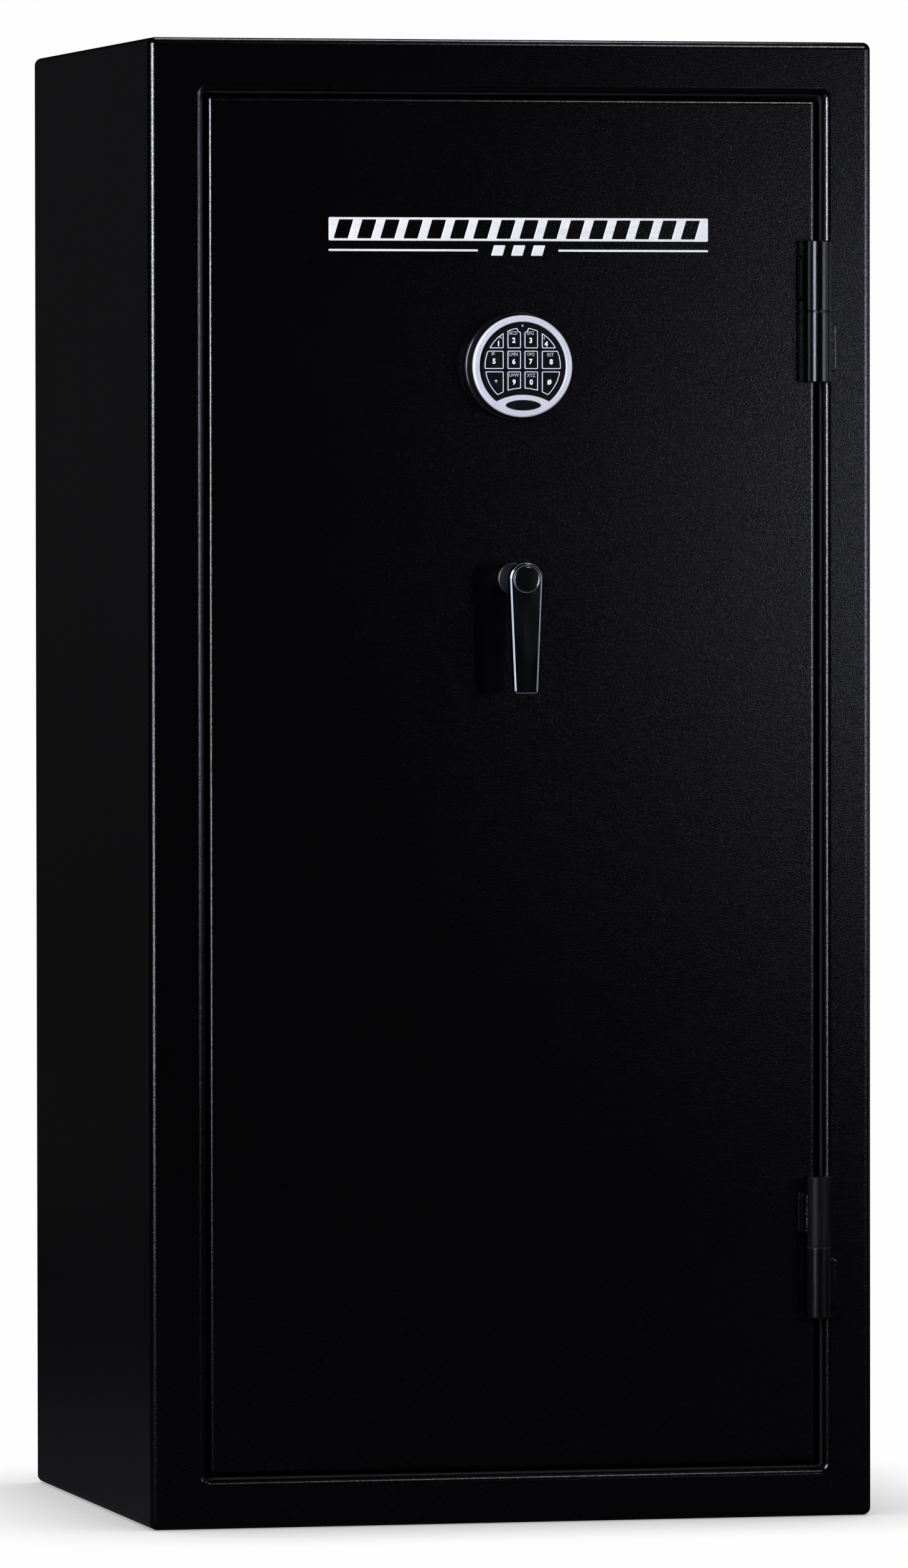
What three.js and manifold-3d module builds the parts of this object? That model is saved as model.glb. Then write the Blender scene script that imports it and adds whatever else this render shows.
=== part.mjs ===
// A free-standing gun safe: a folded steel body with a recessed, outward-opening door on two external
// barrel hinges, a keypad lock, a hanging lever handle and a cam-driven bolt work inside the door.
// Millimetres, +Z up. The origin is the middle of the underside of the body. The front faces -Y,
// left is -X and the hinges are on the right, at +X.
import * as THREE from "three";
import { mergeVertices } from "three/addons/utils/BufferGeometryUtils.js";
import Module from "manifold-3d";

const manifold = await Module();
manifold.setup();

// ---------------------------------------------------------------- driving dimensions
const WIDTH = 762, DEPTH = 610, HEIGHT = 1524;
const FRONT = -DEPTH / 2, REAR = DEPTH / 2;
const SKIN = 3, BEND = 8;                    // body sheet and the outer radius of its bends
const BODY = { left: -WIDTH / 2, right: WIDTH / 2, bottom: 0, top: HEIGHT, radius: BEND };
const OPENING = { left: -324, right: 330.5, bottom: 50, top: 1470, radius: 5 };
const JAMB_END = FRONT + 48;                 // rear face of the jamb's return

const DOOR = { left: -318.5, right: 324, bottom: 55.5, top: 1465, radius: 3 };
const DOOR_Y = FRONT + 8;                    // door face, recessed
const DOOR_SKIN = 4;
const HANDLE_X = 2, HANDLE_Z = 971.3;        // also the centre of the bolt work
const KEYPAD_X = 5.8, KEYPAD_Z = 1189;

const BOLT_RADIUS = 15, BOLT_Y = FRONT + 66;
const BOLT_Z = [0, 1, 2, 3].map((i) => 240 + 350 * i);
const BOLT_BAR = { bottom: 200, top: 1330 };
const CAM_RADIUS = 76, CAM_Y = FRONT + 62;   // CAM_Y is the rear face of the cam

// ---------------------------------------------------------------- mesh helpers
// Welds a geometry, drops collapsed triangles and turns its faces outwards.
const weld = (source) => {
  const loose = source.index ? source.toNonIndexed() : source.clone();
  loose.deleteAttribute("normal");
  loose.deleteAttribute("uv");
  const welded = mergeVertices(loose, 1e-4);
  const index = welded.index.array, kept = [];
  const at = (i) => new THREE.Vector3().fromBufferAttribute(welded.attributes.position, i);
  let volume = 0;
  for (let i = 0; i < index.length; i += 3) {
    const [a, b, c] = [index[i], index[i + 1], index[i + 2]];
    if (a === b || b === c || a === c) continue;
    kept.push(a, b, c);
    volume += at(a).dot(at(b).cross(at(c)));
  }
  if (volume < 0) {
    for (let i = 0; i < kept.length; i += 3) {
      [kept[i + 1], kept[i + 2]] = [kept[i + 2], kept[i + 1]];
    }
  }
  welded.setIndex(kept);
  return welded;
};
const toSolid = (source) => {
  const welded = weld(source);
  return new manifold.Manifold(new manifold.Mesh({
    numProp: 3,
    vertProperties: new Float32Array(welded.attributes.position.array),
    triVerts: new Uint32Array(welded.index.array),
  }));
};
const toGeometry = (solid) => {
  const { numVert, numProp, vertProperties, triVerts } = solid.getMesh();
  const positions = new Float32Array(numVert * 3);
  for (let i = 0; i < numVert; i++) {
    positions.set(vertProperties.subarray(i * numProp, i * numProp + 3), i * 3);
  }
  const result = new THREE.BufferGeometry();
  result.setAttribute("position", new THREE.BufferAttribute(positions, 3));
  result.setIndex(new THREE.BufferAttribute(new Uint32Array(triVerts), 1));
  return result;
};
const join = (...parts) => toGeometry(parts.map(toSolid).reduce((a, b) => a.add(b)));
const cut = (part, ...tools) =>
  toGeometry(tools.map(toSolid).reduce((a, b) => a.subtract(b), toSolid(part)));

const safe = new THREE.Group();
const put = (name, source, material) => {
  const mesh = new THREE.Mesh(weld(source), material);
  mesh.geometry.computeVertexNormals();
  mesh.name = name;
  safe.add(mesh);
};

// ---------------------------------------------------------------- outline helpers
const vectors = (points) => points.map(([x, y]) => new THREE.Vector2(x, y));
const outline = (points) => new THREE.Shape(vectors(points));
const hole = (points) => new THREE.Path(vectors(points));
const arc = (x, y, radius, from, to, steps) => Array.from({ length: steps + 1 }, (_, i) => {
  const angle = from + ((to - from) * i) / steps;
  return [x + radius * Math.cos(angle), y + radius * Math.sin(angle)];
});
const circle = (radius, steps) => arc(0, 0, radius, 0, 2 * Math.PI, steps).slice(0, -1);
// Points [u, f(u)] at even steps of u.
const sample = (f, from, to, steps) => Array.from({ length: steps + 1 }, (_, i) => {
  const u = from + ((to - from) * i) / steps;
  return [u, f(u)];
});

// Rounds the sharp corners of a closed outline and leaves points on smooth arcs alone.
const soften = (points, radius, steps = 2) => points.flatMap((point, i) => {
  const corner = new THREE.Vector2(...point);
  const back = new THREE.Vector2(...points.at(i - 1)).sub(corner);
  const ahead = new THREE.Vector2(...points[(i + 1) % points.length]).sub(corner);
  const room = 0.7 * Math.min(back.length(), ahead.length());
  back.normalize();
  ahead.normalize();
  const inside = Math.acos(THREE.MathUtils.clamp(back.dot(ahead), -1, 1));
  if (Math.PI - inside < 0.45) return [point];
  const setback = Math.min(radius / Math.tan(inside / 2), room);
  const fitted = setback * Math.tan(inside / 2);
  const centre = back.clone().add(ahead).normalize()
    .multiplyScalar(fitted / Math.sin(inside / 2)).add(corner);
  const start = back.multiplyScalar(setback).add(corner).sub(centre);
  const end = ahead.multiplyScalar(setback).add(corner).sub(centre);
  const from = Math.atan2(start.y, start.x);
  let turn = Math.atan2(end.y, end.x) - from;
  turn -= 2 * Math.PI * Math.round(turn / (2 * Math.PI));
  return arc(centre.x, centre.y, fitted, from, from + turn, steps);
});

// Moves a closed counter-clockwise outline out by a distance.
const grown = (points, distance) => points.map((point, i) => {
  const normal = (a, b) => new THREE.Vector2(b[1] - a[1], a[0] - b[0]).normalize();
  const before = normal(points.at(i - 1), point);
  const after = normal(point, points[(i + 1) % points.length]);
  const scale = distance / Math.max(0.35, (1 + before.dot(after)) / 2) / 2;
  return [point[0] + (before.x + after.x) * scale, point[1] + (before.y + after.y) * scale];
});

// ---------------------------------------------------------------- shape helpers
const box = (x0, x1, y0, y1, z0, z1) => new THREE.BoxGeometry(x1 - x0, y1 - y0, z1 - z0)
  .translate((x0 + x1) / 2, (y0 + y1) / 2, (z0 + z1) / 2);
// A box that fills a rectangle of the X-Z plane.
const panel = ({ left, right, bottom, top }, y0, y1) => box(left, right, y0, y1, bottom, top);

// Cylinders between two values of one axis.
const cylinder = (radius, length, segments) =>
  new THREE.CylinderGeometry(radius, radius, length, segments);
const rodX = (radius, x0, x1, y, z, segments) =>
  cylinder(radius, x1 - x0, segments).rotateZ(Math.PI / 2).translate((x0 + x1) / 2, y, z);
const rodY = (radius, y0, y1, x, z, segments) =>
  cylinder(radius, y1 - y0, segments).translate(x, (y0 + y1) / 2, z);
const rodZ = (radius, z0, z1, x, y, segments) =>
  cylinder(radius, z1 - z0, segments).rotateX(Math.PI / 2).translate(x, y, (z0 + z1) / 2);

// Turned parts. Profile points are [radius, distance along the axis].
const lathe = (profile, segments) => new THREE.LatheGeometry(vectors(profile), segments);
// Distances run outwards from the door face.
const turned = (profile, x, z, segments) =>
  lathe(profile, segments).rotateX(Math.PI).translate(x, DOOR_Y, z);
// Distances are heights.
const turnedZ = (profile, x, y, segments) =>
  lathe(profile, segments).rotateX(Math.PI / 2).translate(x, y, 0);
// A horizontal bolt. Distances run from x towards side +1 or -1.
const turnedBolt = (profile, x, z, side) =>
  lathe(profile, 18).rotateZ((-side * Math.PI) / 2).translate(x, BOLT_Y, z);

// A flat outline in the X-Z plane, given thickness from y = back towards -Y.
const slab = (shape, back, depth, x = 0, z = 0, bevel = { bevelEnabled: false }) =>
  new THREE.ExtrudeGeometry(shape, { depth, ...bevel }).rotateX(Math.PI / 2).translate(x, back, z);
// An outline in the X-Y plane, extruded between two heights.
const column = (points, z0, z1) =>
  new THREE.ExtrudeGeometry(outline(points), { depth: z1 - z0, bevelEnabled: false })
    .translate(0, 0, z0);

// A rounded rectangle at depth y, moved out by grow.
const CORNER_STEPS = 3, BEND_STEPS = 3, MIN_RADIUS = 0.4;
const ring = (rect, grow, y) => {
  const radius = Math.max(rect.radius + grow, MIN_RADIUS);
  const left = rect.left - grow + radius, right = rect.right + grow - radius;
  const bottom = rect.bottom - grow + radius, top = rect.top + grow - radius;
  return [[right, bottom], [right, top], [left, top], [left, bottom]]
    .flatMap(([x, z], i) =>
      arc(x, z, radius, ((i - 1) * Math.PI) / 2, (i * Math.PI) / 2, CORNER_STEPS))
    .map(([x, z]) => new THREE.Vector3(x, y, z));
};
// Rings round a sheet bend centred on (grow, y), after its first. Angles are in quarter turns
// from the grow direction towards +Y.
const fold = (rect, grow, y, radius, from, to) =>
  arc(grow, y, radius, (from * Math.PI) / 2, (to * Math.PI) / 2, BEND_STEPS).slice(1)
    .map(([foldGrow, foldY]) => ring(rect, foldGrow, foldY));
// Joins rings into a skin: a closed loop of rings, or an open run with capped ends.
const loft = (rings, capped = false) => {
  const size = rings[0].length, last = rings.length - 1, index = [];
  for (let i = 0; i < (capped ? last : rings.length); i++) {
    const here = i * size, next = ((i + 1) % rings.length) * size;
    for (let j = 0; j < size; j++) {
      const k = (j + 1) % size;
      index.push(here + j, here + k, next + k, here + j, next + k, next + j);
    }
  }
  const cap = (start, flipped) => {
    const flat = rings[start].map((point) => new THREE.Vector2(point.x, point.z));
    for (const [a, b, c] of THREE.ShapeUtils.triangulateShape(flat, [])) {
      index.push(...(flipped ? [a, c, b] : [a, b, c]).map((k) => start * size + k));
    }
  };
  if (capped) {
    cap(0, true);
    cap(last, false);
  }
  const positions = rings.flat().flatMap(({ x, y, z }) => [x, y, z]);
  const result = new THREE.BufferGeometry();
  result.setAttribute("position", new THREE.Float32BufferAttribute(positions, 3));
  result.setIndex(index);
  return result;
};

// ---------------------------------------------------------------- materials
const standard = (settings) => new THREE.MeshStandardMaterial(settings);
const MATERIAL = {
  powder: standard({ color: 0x0d0d0f, roughness: 0.42, metalness: 0.1 }),
  barrel: standard({ color: 0x151518, roughness: 0.35, metalness: 0.3 }),
  silver: standard({ color: 0xc9c9d6, roughness: 0.35, metalness: 0.6 }),
  keypad: standard({ color: 0x1c1c22, roughness: 0.5, metalness: 0 }),
  key: standard({ color: 0x17171b, roughness: 0.45, metalness: 0 }),
  dark: standard({ color: 0x08080a, roughness: 0.7, metalness: 0 }),
  nickel: standard({ color: 0x55585e, roughness: 0.12, metalness: 1 }),
  chrome: standard({ color: 0xbfc2c6, roughness: 0.1, metalness: 1 }),
  zinc: standard({ color: 0x9a9c96, roughness: 0.4, metalness: 0.9 }),
  board: standard({ color: 0xb9b4ab, roughness: 0.95, metalness: 0 }),
  carpet: standard({ color: 0x6d6a66, roughness: 1, metalness: 0 }),
  bare: standard({ color: 0x4b4c50, roughness: 0.45, metalness: 0.8 }),
  led: standard({ color: 0x9aa0a8, roughness: 0.3, metalness: 0 }),
  brass: standard({ color: 0xa8905a, roughness: 0.3, metalness: 0.9 }),
};

// ---------------------------------------------------------------- body
const REAR_LIP = 30;                         // flange round the back panel
const LIP_BEND = 7;                          // bend from the front frame into the jamb
const RETURN_WIDTH = 24;                     // the jamb's return
const ANCHORS = [[-300, -190], [300, -190], [-300, 210], [300, 210]];  // x, y
const anchorHoles = (z0, z1) => ANCHORS.map(([x, y]) => rodZ(8, z0, z1, x, y, 14));

// The section runs round the outside to the jamb and back along the inside.
const shell = loft([
  ring(BODY, -REAR_LIP, REAR),
  ring(BODY, -BEND, REAR),
  ...fold(BODY, -BEND, REAR - BEND, BEND, 1, 0),
  ring(BODY, 0, FRONT + BEND),
  ...fold(BODY, -BEND, FRONT + BEND, BEND, 0, -1),
  ring(OPENING, LIP_BEND, FRONT),
  ...fold(OPENING, LIP_BEND, FRONT + LIP_BEND, LIP_BEND, -1, -2),
  ring(OPENING, 0, JAMB_END),
  ring(OPENING, RETURN_WIDTH, JAMB_END),
  ring(OPENING, RETURN_WIDTH, JAMB_END - SKIN),
  ring(OPENING, SKIN, JAMB_END - SKIN),
  ring(OPENING, SKIN, FRONT + LIP_BEND),
  ...fold(OPENING, LIP_BEND, FRONT + LIP_BEND, LIP_BEND - SKIN, 2, 3),
  ring(BODY, -BEND, FRONT + SKIN),
  ...fold(BODY, -BEND, FRONT + BEND, BEND - SKIN, -1, 0),
  ring(BODY, -SKIN, REAR - BEND),
  ...fold(BODY, -BEND, REAR - BEND, BEND - SKIN, 0, 1),
  ring(BODY, -REAR_LIP, REAR - SKIN),
]);
put("body_shell", cut(shell, ...anchorHoles(-5, 8)), MATERIAL.powder);
put("back_panel", box(-371, 371, REAR - 6.2, REAR - 3.4, 9, HEIGHT - 9), MATERIAL.powder);

// Fire boards lie against the skin. The insets are measured from the outside of the body.
const GAP = 0.4, BOARD = 12;
const BOARD_OUTER = SKIN + GAP, BOARD_INNER = BOARD_OUTER + BOARD, LINING_INSET = BOARD_INNER + GAP;
const BOARD_FRONT = JAMB_END + 4, SIDE = WIDTH / 2 - BOARD_OUTER;
const LINED = {
  left: -WIDTH / 2 + LINING_INSET, right: WIDTH / 2 - LINING_INSET,
  bottom: LINING_INSET, top: HEIGHT - LINING_INSET,
};
const levelBoard = (z0, z1) => box(-372, 372, BOARD_FRONT, REAR - 19, z0, z1);
const sideBoard = (left, right) => panel({ ...LINED, left, right }, BOARD_FRONT, REAR - 6.8);
put("fireboard_bottom", cut(levelBoard(BOARD_OUTER, BOARD_INNER), ...anchorHoles(0, 20)),
  MATERIAL.board);
put("fireboard_top", levelBoard(HEIGHT - BOARD_INNER, HEIGHT - BOARD_OUTER), MATERIAL.board);
put("fireboard_left", sideBoard(-SIDE, -SIDE + BOARD), MATERIAL.board);
put("fireboard_right", sideBoard(SIDE - BOARD, SIDE), MATERIAL.board);
put("fireboard_back", panel(LINED, REAR - 18.6, REAR - 6.8), MATERIAL.board);

// One carpet lining, open at the front, covers the boards.
const CARPET = 3.2, LINING_FRONT = FRONT + 60, LINING_REAR = REAR - 18.9;
const liningSpace = {
  left: LINED.left + CARPET, right: LINED.right - CARPET,
  bottom: LINED.bottom + CARPET, top: LINED.top - CARPET,
};
put("carpet_lining", cut(
  panel(LINED, LINING_FRONT, LINING_REAR),
  panel(liningSpace, LINING_FRONT - 10, LINING_REAR - CARPET),
  ...anchorHoles(10, 25)), MATERIAL.carpet);

// Heat seal on the jamb wall.
put("door_seal", loft([
  ring(OPENING, -0.2, FRONT + 10), ring(OPENING, -2.2, FRONT + 10),
  ring(OPENING, -2.2, FRONT + 30), ring(OPENING, -0.2, FRONT + 30),
]), MATERIAL.dark);

// ---------------------------------------------------------------- interior
const FLOOR = LINING_INSET + CARPET + GAP, WALL = 361.4, BACK = REAR - 22.6;
const SHELF_FRONT = -150, SHELF = 16, TOP_SHELF_Z = 1200;
const DIVIDER = { left: 92, right: 108, bottom: FLOOR, top: TOP_SHELF_Z - GAP };
const shelf = (left, z) => box(left, WALL, SHELF_FRONT, BACK, z, z + SHELF);
put("divider_panel", panel(DIVIDER, SHELF_FRONT, BACK), MATERIAL.carpet);
put("top_shelf", shelf(-WALL, TOP_SHELF_Z), MATERIAL.carpet);
put("side_shelf_upper", shelf(DIVIDER.right + 0.5, 850), MATERIAL.carpet);
put("side_shelf_lower", shelf(DIVIDER.right + 0.5, 500), MATERIAL.carpet);

// The barrel rest has a row of round-ended notches, and the butt rest dips under each of them.
const GUNS = 6, GUN_PITCH = 74, FIRST_GUN_X = -WALL + 41, REST_RIGHT = DIVIDER.left - GAP;
const REST_FRONT = 150, NOTCH_CENTRE_Y = 195, NOTCH_RADIUS = 20;
const barrelRest = [[-WALL, BACK], [-WALL, REST_FRONT]];
for (let i = 0; i < GUNS; i++) {
  const x = FIRST_GUN_X + i * GUN_PITCH;
  barrelRest.push(
    [x - NOTCH_RADIUS, REST_FRONT],
    ...arc(x, NOTCH_CENTRE_Y, NOTCH_RADIUS, Math.PI, 0, 6),
    [x + NOTCH_RADIUS, REST_FRONT]);
}
barrelRest.push([REST_RIGHT, REST_FRONT], [REST_RIGHT, BACK]);
put("barrel_rest", column(barrelRest, 1000, 1018), MATERIAL.carpet);

const BUTT_REST_FRONT = 60;
const waveZ = (x) => FLOOR + 22 - 8 * Math.cos((2 * Math.PI * (x - FIRST_GUN_X)) / GUN_PITCH);
const buttRest = [[-WALL, FLOOR], [REST_RIGHT, FLOOR], ...sample(waveZ, REST_RIGHT, -WALL, 36)];
put("butt_rest", slab(outline(buttRest), BACK, BACK - BUTT_REST_FRONT), MATERIAL.carpet);

// ---------------------------------------------------------------- hinges
// The lower knuckle of each hinge stays on the frame, and the upper one swings with the door.
const AXIS = { x: 322.4, y: FRONT - 8 };
const HINGES = [["upper", 1245.9], ["lower", 279.3]];  // name, mid-height
const HINGE_HALF = 73.2, BARREL_RADIUS = 12.4, HINGE_PIN_RADIUS = 6, HINGE_PIN_HALF = 65;
const BORE = HINGE_PIN_RADIUS + 0.35, BORE_DEPTH = 66, CHAMFER = 1.2, EDGE_CHAMFER = 0.5;
const frameY = FRONT - 0.3, leafY = DOOR_Y - 0.3;
const FRAME_LEAF = [
  [342, frameY], [342, frameY - 1.6], [335.5, frameY - 6], [326, frameY - 6], [326, frameY],
];
const DOOR_LEAF = [
  [304.5, leafY], [304.5, leafY - 2.4], [311.4, leafY - 10], [320, leafY - 10], [320, leafY],
];
// A barrel with a blind bore in its open end.
const knuckle = (closedZ, openZ) => {
  const way = Math.sign(openZ - closedZ), boreEnd = openZ - way * BORE_DEPTH;
  return turnedZ([
    [0, closedZ], [BARREL_RADIUS - CHAMFER, closedZ], [BARREL_RADIUS, closedZ + way * CHAMFER],
    [BARREL_RADIUS, openZ - way * EDGE_CHAMFER], [BARREL_RADIUS - EDGE_CHAMFER, openZ],
    [BORE, openZ], [BORE, boreEnd], [0, boreEnd],
  ], AXIS.x, AXIS.y, 28);
};
// The clearance keeps a leaf out of the bore.
const clearance = (z0, z1) => rodZ(8, z0, z1, AXIS.x, AXIS.y, 28);
for (const [name, z] of HINGES) {
  put(`frame_knuckle_${name}`, join(
    knuckle(z - HINGE_HALF, z - 0.8),
    cut(column(FRAME_LEAF, z - 62, z - 11.5), clearance(z - 70, z))), MATERIAL.barrel);
  put(`hinge_pin_${name}`,
    rodZ(HINGE_PIN_RADIUS, z - HINGE_PIN_HALF, z + HINGE_PIN_HALF, AXIS.x, AXIS.y, 20),
    MATERIAL.zinc);
  put(`hinge_washer_${name}`, turnedZ(
    [[6.4, z - 0.6], [13, z - 0.6], [13, z + 0.6], [6.4, z + 0.6], [6.4, z - 0.6]],
    AXIS.x, AXIS.y, 24), MATERIAL.brass);
  put(`door_knuckle_${name}`, join(
    knuckle(z + HINGE_HALF, z + 0.8),
    cut(column(DOOR_LEAF, z + 10.5, z + 58.5), clearance(z, z + 70))), MATERIAL.barrel);
}

// ---------------------------------------------------------------- door
const DOOR_BEND = 6, DOOR_EDGE = 34;
const face = loft([
  ring(DOOR, -DOOR_BEND, DOOR_Y),
  ...fold(DOOR, -DOOR_BEND, DOOR_Y + DOOR_BEND, DOOR_BEND, -1, 0),
  ring(DOOR, 0, DOOR_Y + DOOR_EDGE),
  ring(DOOR, -DOOR_SKIN, DOOR_Y + DOOR_EDGE),
  ring(DOOR, -DOOR_SKIN, DOOR_Y + DOOR_SKIN),
], true);
// Holes behind the handle and the keypad.
const doorHoles = (radius, y0, y1) => [
  rodY(radius, y0, y1, HANDLE_X, HANDLE_Z, 20),
  rodY(radius - 1, y0, y1, KEYPAD_X, KEYPAD_Z, 16),
];
put("door_face", cut(face, ...doorHoles(8, DOOR_Y - 5, DOOR_Y + 10)), MATERIAL.powder);

// The chassis is a frame with an inward lip at the back and a hole for every bolt.
const CHASSIS = { left: -308.5, right: 314, bottom: 65.5, top: 1455.5, radius: 2 };
const CHASSIS_FRONT = DOOR_Y + DOOR_SKIN + 0.3, CHASSIS_BACK = DOOR_Y + 90;
const CHASSIS_SKIN = 2.5, CHASSIS_LIP = 28, BOLT_HOLE = BOLT_RADIUS + 0.7;
const chassis = loft([
  ring(CHASSIS, 0, CHASSIS_FRONT),
  ring(CHASSIS, 0, CHASSIS_BACK),
  ring(CHASSIS, -CHASSIS_LIP, CHASSIS_BACK),
  ring(CHASSIS, -CHASSIS_LIP, CHASSIS_BACK - CHASSIS_SKIN),
  ring(CHASSIS, -CHASSIS_SKIN, CHASSIS_BACK - CHASSIS_SKIN),
  ring(CHASSIS, -CHASSIS_SKIN, CHASSIS_FRONT),
]);
put("door_chassis", cut(chassis,
  ...BOLT_Z.map((z) => rodX(BOLT_HOLE, -320, -300, BOLT_Y, z, 18)),
  ...BOLT_Z.map((z) => rodX(BOLT_HOLE, 305, 320, BOLT_Y, z, 18)),
  rodZ(BOLT_HOLE, 1440, 1465, HANDLE_X, BOLT_Y, 18),
  rodZ(BOLT_HOLE, 50, 80, HANDLE_X, BOLT_Y, 18)), MATERIAL.powder);

const DOOR_BOARD = { left: -305, right: 310.5, bottom: 69, top: 1452 }, DOOR_BOARD_DEPTH = 12.4;
put("door_fireboard", cut(
  panel(DOOR_BOARD, CHASSIS_FRONT, CHASSIS_FRONT + DOOR_BOARD_DEPTH),
  ...doorHoles(11, CHASSIS_FRONT - 5, CHASSIS_FRONT + 20)), MATERIAL.board);

const HARD_PLATE = { left: HANDLE_X - 75, right: HANDLE_X + 75, bottom: 895, top: 1275 };
const PLATE_Y = CHASSIS_FRONT + DOOR_BOARD_DEPTH + 0.3, PLATE = 5;
put("hard_plate", cut(
  panel(HARD_PLATE, PLATE_Y, PLATE_Y + PLATE),
  ...doorHoles(10, PLATE_Y - 5, PLATE_Y + 10)), MATERIAL.bare);

const DOOR_LINER = { left: -305.5, right: 311, bottom: 68.5, top: 1452.5 };
put("door_liner", panel(DOOR_LINER, CHASSIS_BACK + 0.3, CHASSIS_BACK + 8.3), MATERIAL.carpet);

// Fixed bolts on the hinge side, joined to one bar.
const FIXED_BOLT = [
  [0, 0], [BOLT_RADIUS, 0], [BOLT_RADIUS, 36], [BOLT_RADIUS - 2, 38], [0, 38],
];
put("fixed_bolt_bar", join(
  panel({ ...BOLT_BAR, left: 303, right: 311.1 }, BOLT_Y - 15, BOLT_Y + 15),
  ...BOLT_Z.map((z) => turnedBolt(FIXED_BOLT, 307, z, 1))), MATERIAL.chrome);

// Emblem: a plain grille of slanted bars between two rails.
const EMBLEM = { x: 8.3, z: 1329.6, halfWidth: 200, halfHeight: 12 };
const SLIT = { first: -195, pitch: 24.4, count: 16, width: 15, slant: 5.8, half: 9.6 };
const slits = Array.from({ length: SLIT.count }, (_, i) => {
  const x = SLIT.first + i * SLIT.pitch;
  return slab(outline([
    [x, -SLIT.half], [x + SLIT.width, -SLIT.half],
    [x + SLIT.width + SLIT.slant, SLIT.half], [x + SLIT.slant, SLIT.half],
  ]), DOOR_Y + 2, 5, EMBLEM.x, EMBLEM.z);
});
put("emblem_grille", cut(box(
  EMBLEM.x - EMBLEM.halfWidth, EMBLEM.x + EMBLEM.halfWidth, DOOR_Y - 1.3, DOOR_Y - 0.2,
  EMBLEM.z - EMBLEM.halfHeight, EMBLEM.z + EMBLEM.halfHeight), ...slits), MATERIAL.silver);

// ---------------------------------------------------------------- keypad
// Its outlines are in (u, v), from the keypad's centre along +X and +Z.
const PAD = 22.5, PAD_Y = DOOR_Y - PAD;      // height of the base, and its front face
put("keypad_base", turned(
  [[0, 0.3], [56, 0.3], [56, 5.6], [54.6, 7.6], [53.8, 7.6], [52.4, PAD], [0, PAD]],
  KEYPAD_X, KEYPAD_Z, 40), MATERIAL.keypad);
const padSlab = (shape, back, depth) => slab(shape, back, depth, KEYPAD_X, KEYPAD_Z);

const chord = (u, radius) => Math.sqrt(radius * radius - u * u);
// Where a circle about the centre meets one about (0, otherV), on the +u side.
const crossing = (radius, otherV, otherRadius) => {
  const v = (radius * radius - otherRadius * otherRadius + otherV * otherV) / (2 * otherV);
  return [chord(v, radius), v];
};
// A disc with an arched bite out of its lower side.
const FACE_RADIUS = 45.2, BITE_V = -88.9, BITE_RADIUS = 60;
const faceOutline = (grow) => {
  const radius = FACE_RADIUS + grow, bite = BITE_RADIUS - grow;
  const [u, v] = crossing(radius, BITE_V, bite);
  const upper = Math.atan2(v, u), lower = Math.atan2(v - BITE_V, u);
  return soften([
    ...arc(0, 0, radius, upper, Math.PI - upper, 30),
    ...arc(0, BITE_V, bite, Math.PI - lower, lower, 8).slice(1, -1),
  ], 3, 3);
};
const OVAL = { v: -39.9, halfWidth: 18.8 + 0.3, halfHeight: 5.6 + 0.3, flatten: 0.12 };
const ovalRecess = circle(1, 20).map(([u, v]) =>
  [OVAL.halfWidth * u, OVAL.v + OVAL.halfHeight * v * (1 - OVAL.flatten * u ** 2)]);
put("keypad_bezel", cut(
  turned([[0, PAD + 0.2], [52.3, PAD + 0.2], [52.3, PAD + 4.6], [50.6, PAD + 6], [0, PAD + 6]],
    KEYPAD_X, KEYPAD_Z, 48),
  padSlab(outline(faceOutline(0.3)), PAD_Y + 4, 15),
  padSlab(outline(ovalRecess), PAD_Y - 4.9, 5)), MATERIAL.silver);

// Keys fill a disc that is bounded below by an arch and notched at the top round the LED.
const KEYS_RADIUS = 40, MIDDLE_ROW_RADIUS = 40.4;
const ARCH_V = -78.15, ARCH_RADIUS = 55, LED_V = 40.3, LED_NOTCH = 5.6;
const INNER0 = -1.65, INNER1 = -16.3, OUTER = -19.9;  // sides of the left half's two columns
const TOP_ROW = 18.1, MIDDLE_TOP = 16.2, MIDDLE_BOTTOM = -3.1, LOW_ROW = -5;
const rim = (u) => chord(u, KEYS_RADIUS);
const arch = (u) => ARCH_V + chord(u, ARCH_RADIUS);
const ledNotch = (u) => LED_V - chord(u, LED_NOTCH);
const leftRim = (from, to, radius, steps) =>
  sample((v) => -chord(v, radius), from, to, steps).map(([v, u]) => [u, v]);
const [notchU] = crossing(KEYS_RADIUS, LED_V, LED_NOTCH);
const [archU, archV] = crossing(KEYS_RADIUS, ARCH_V, ARCH_RADIUS);
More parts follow.
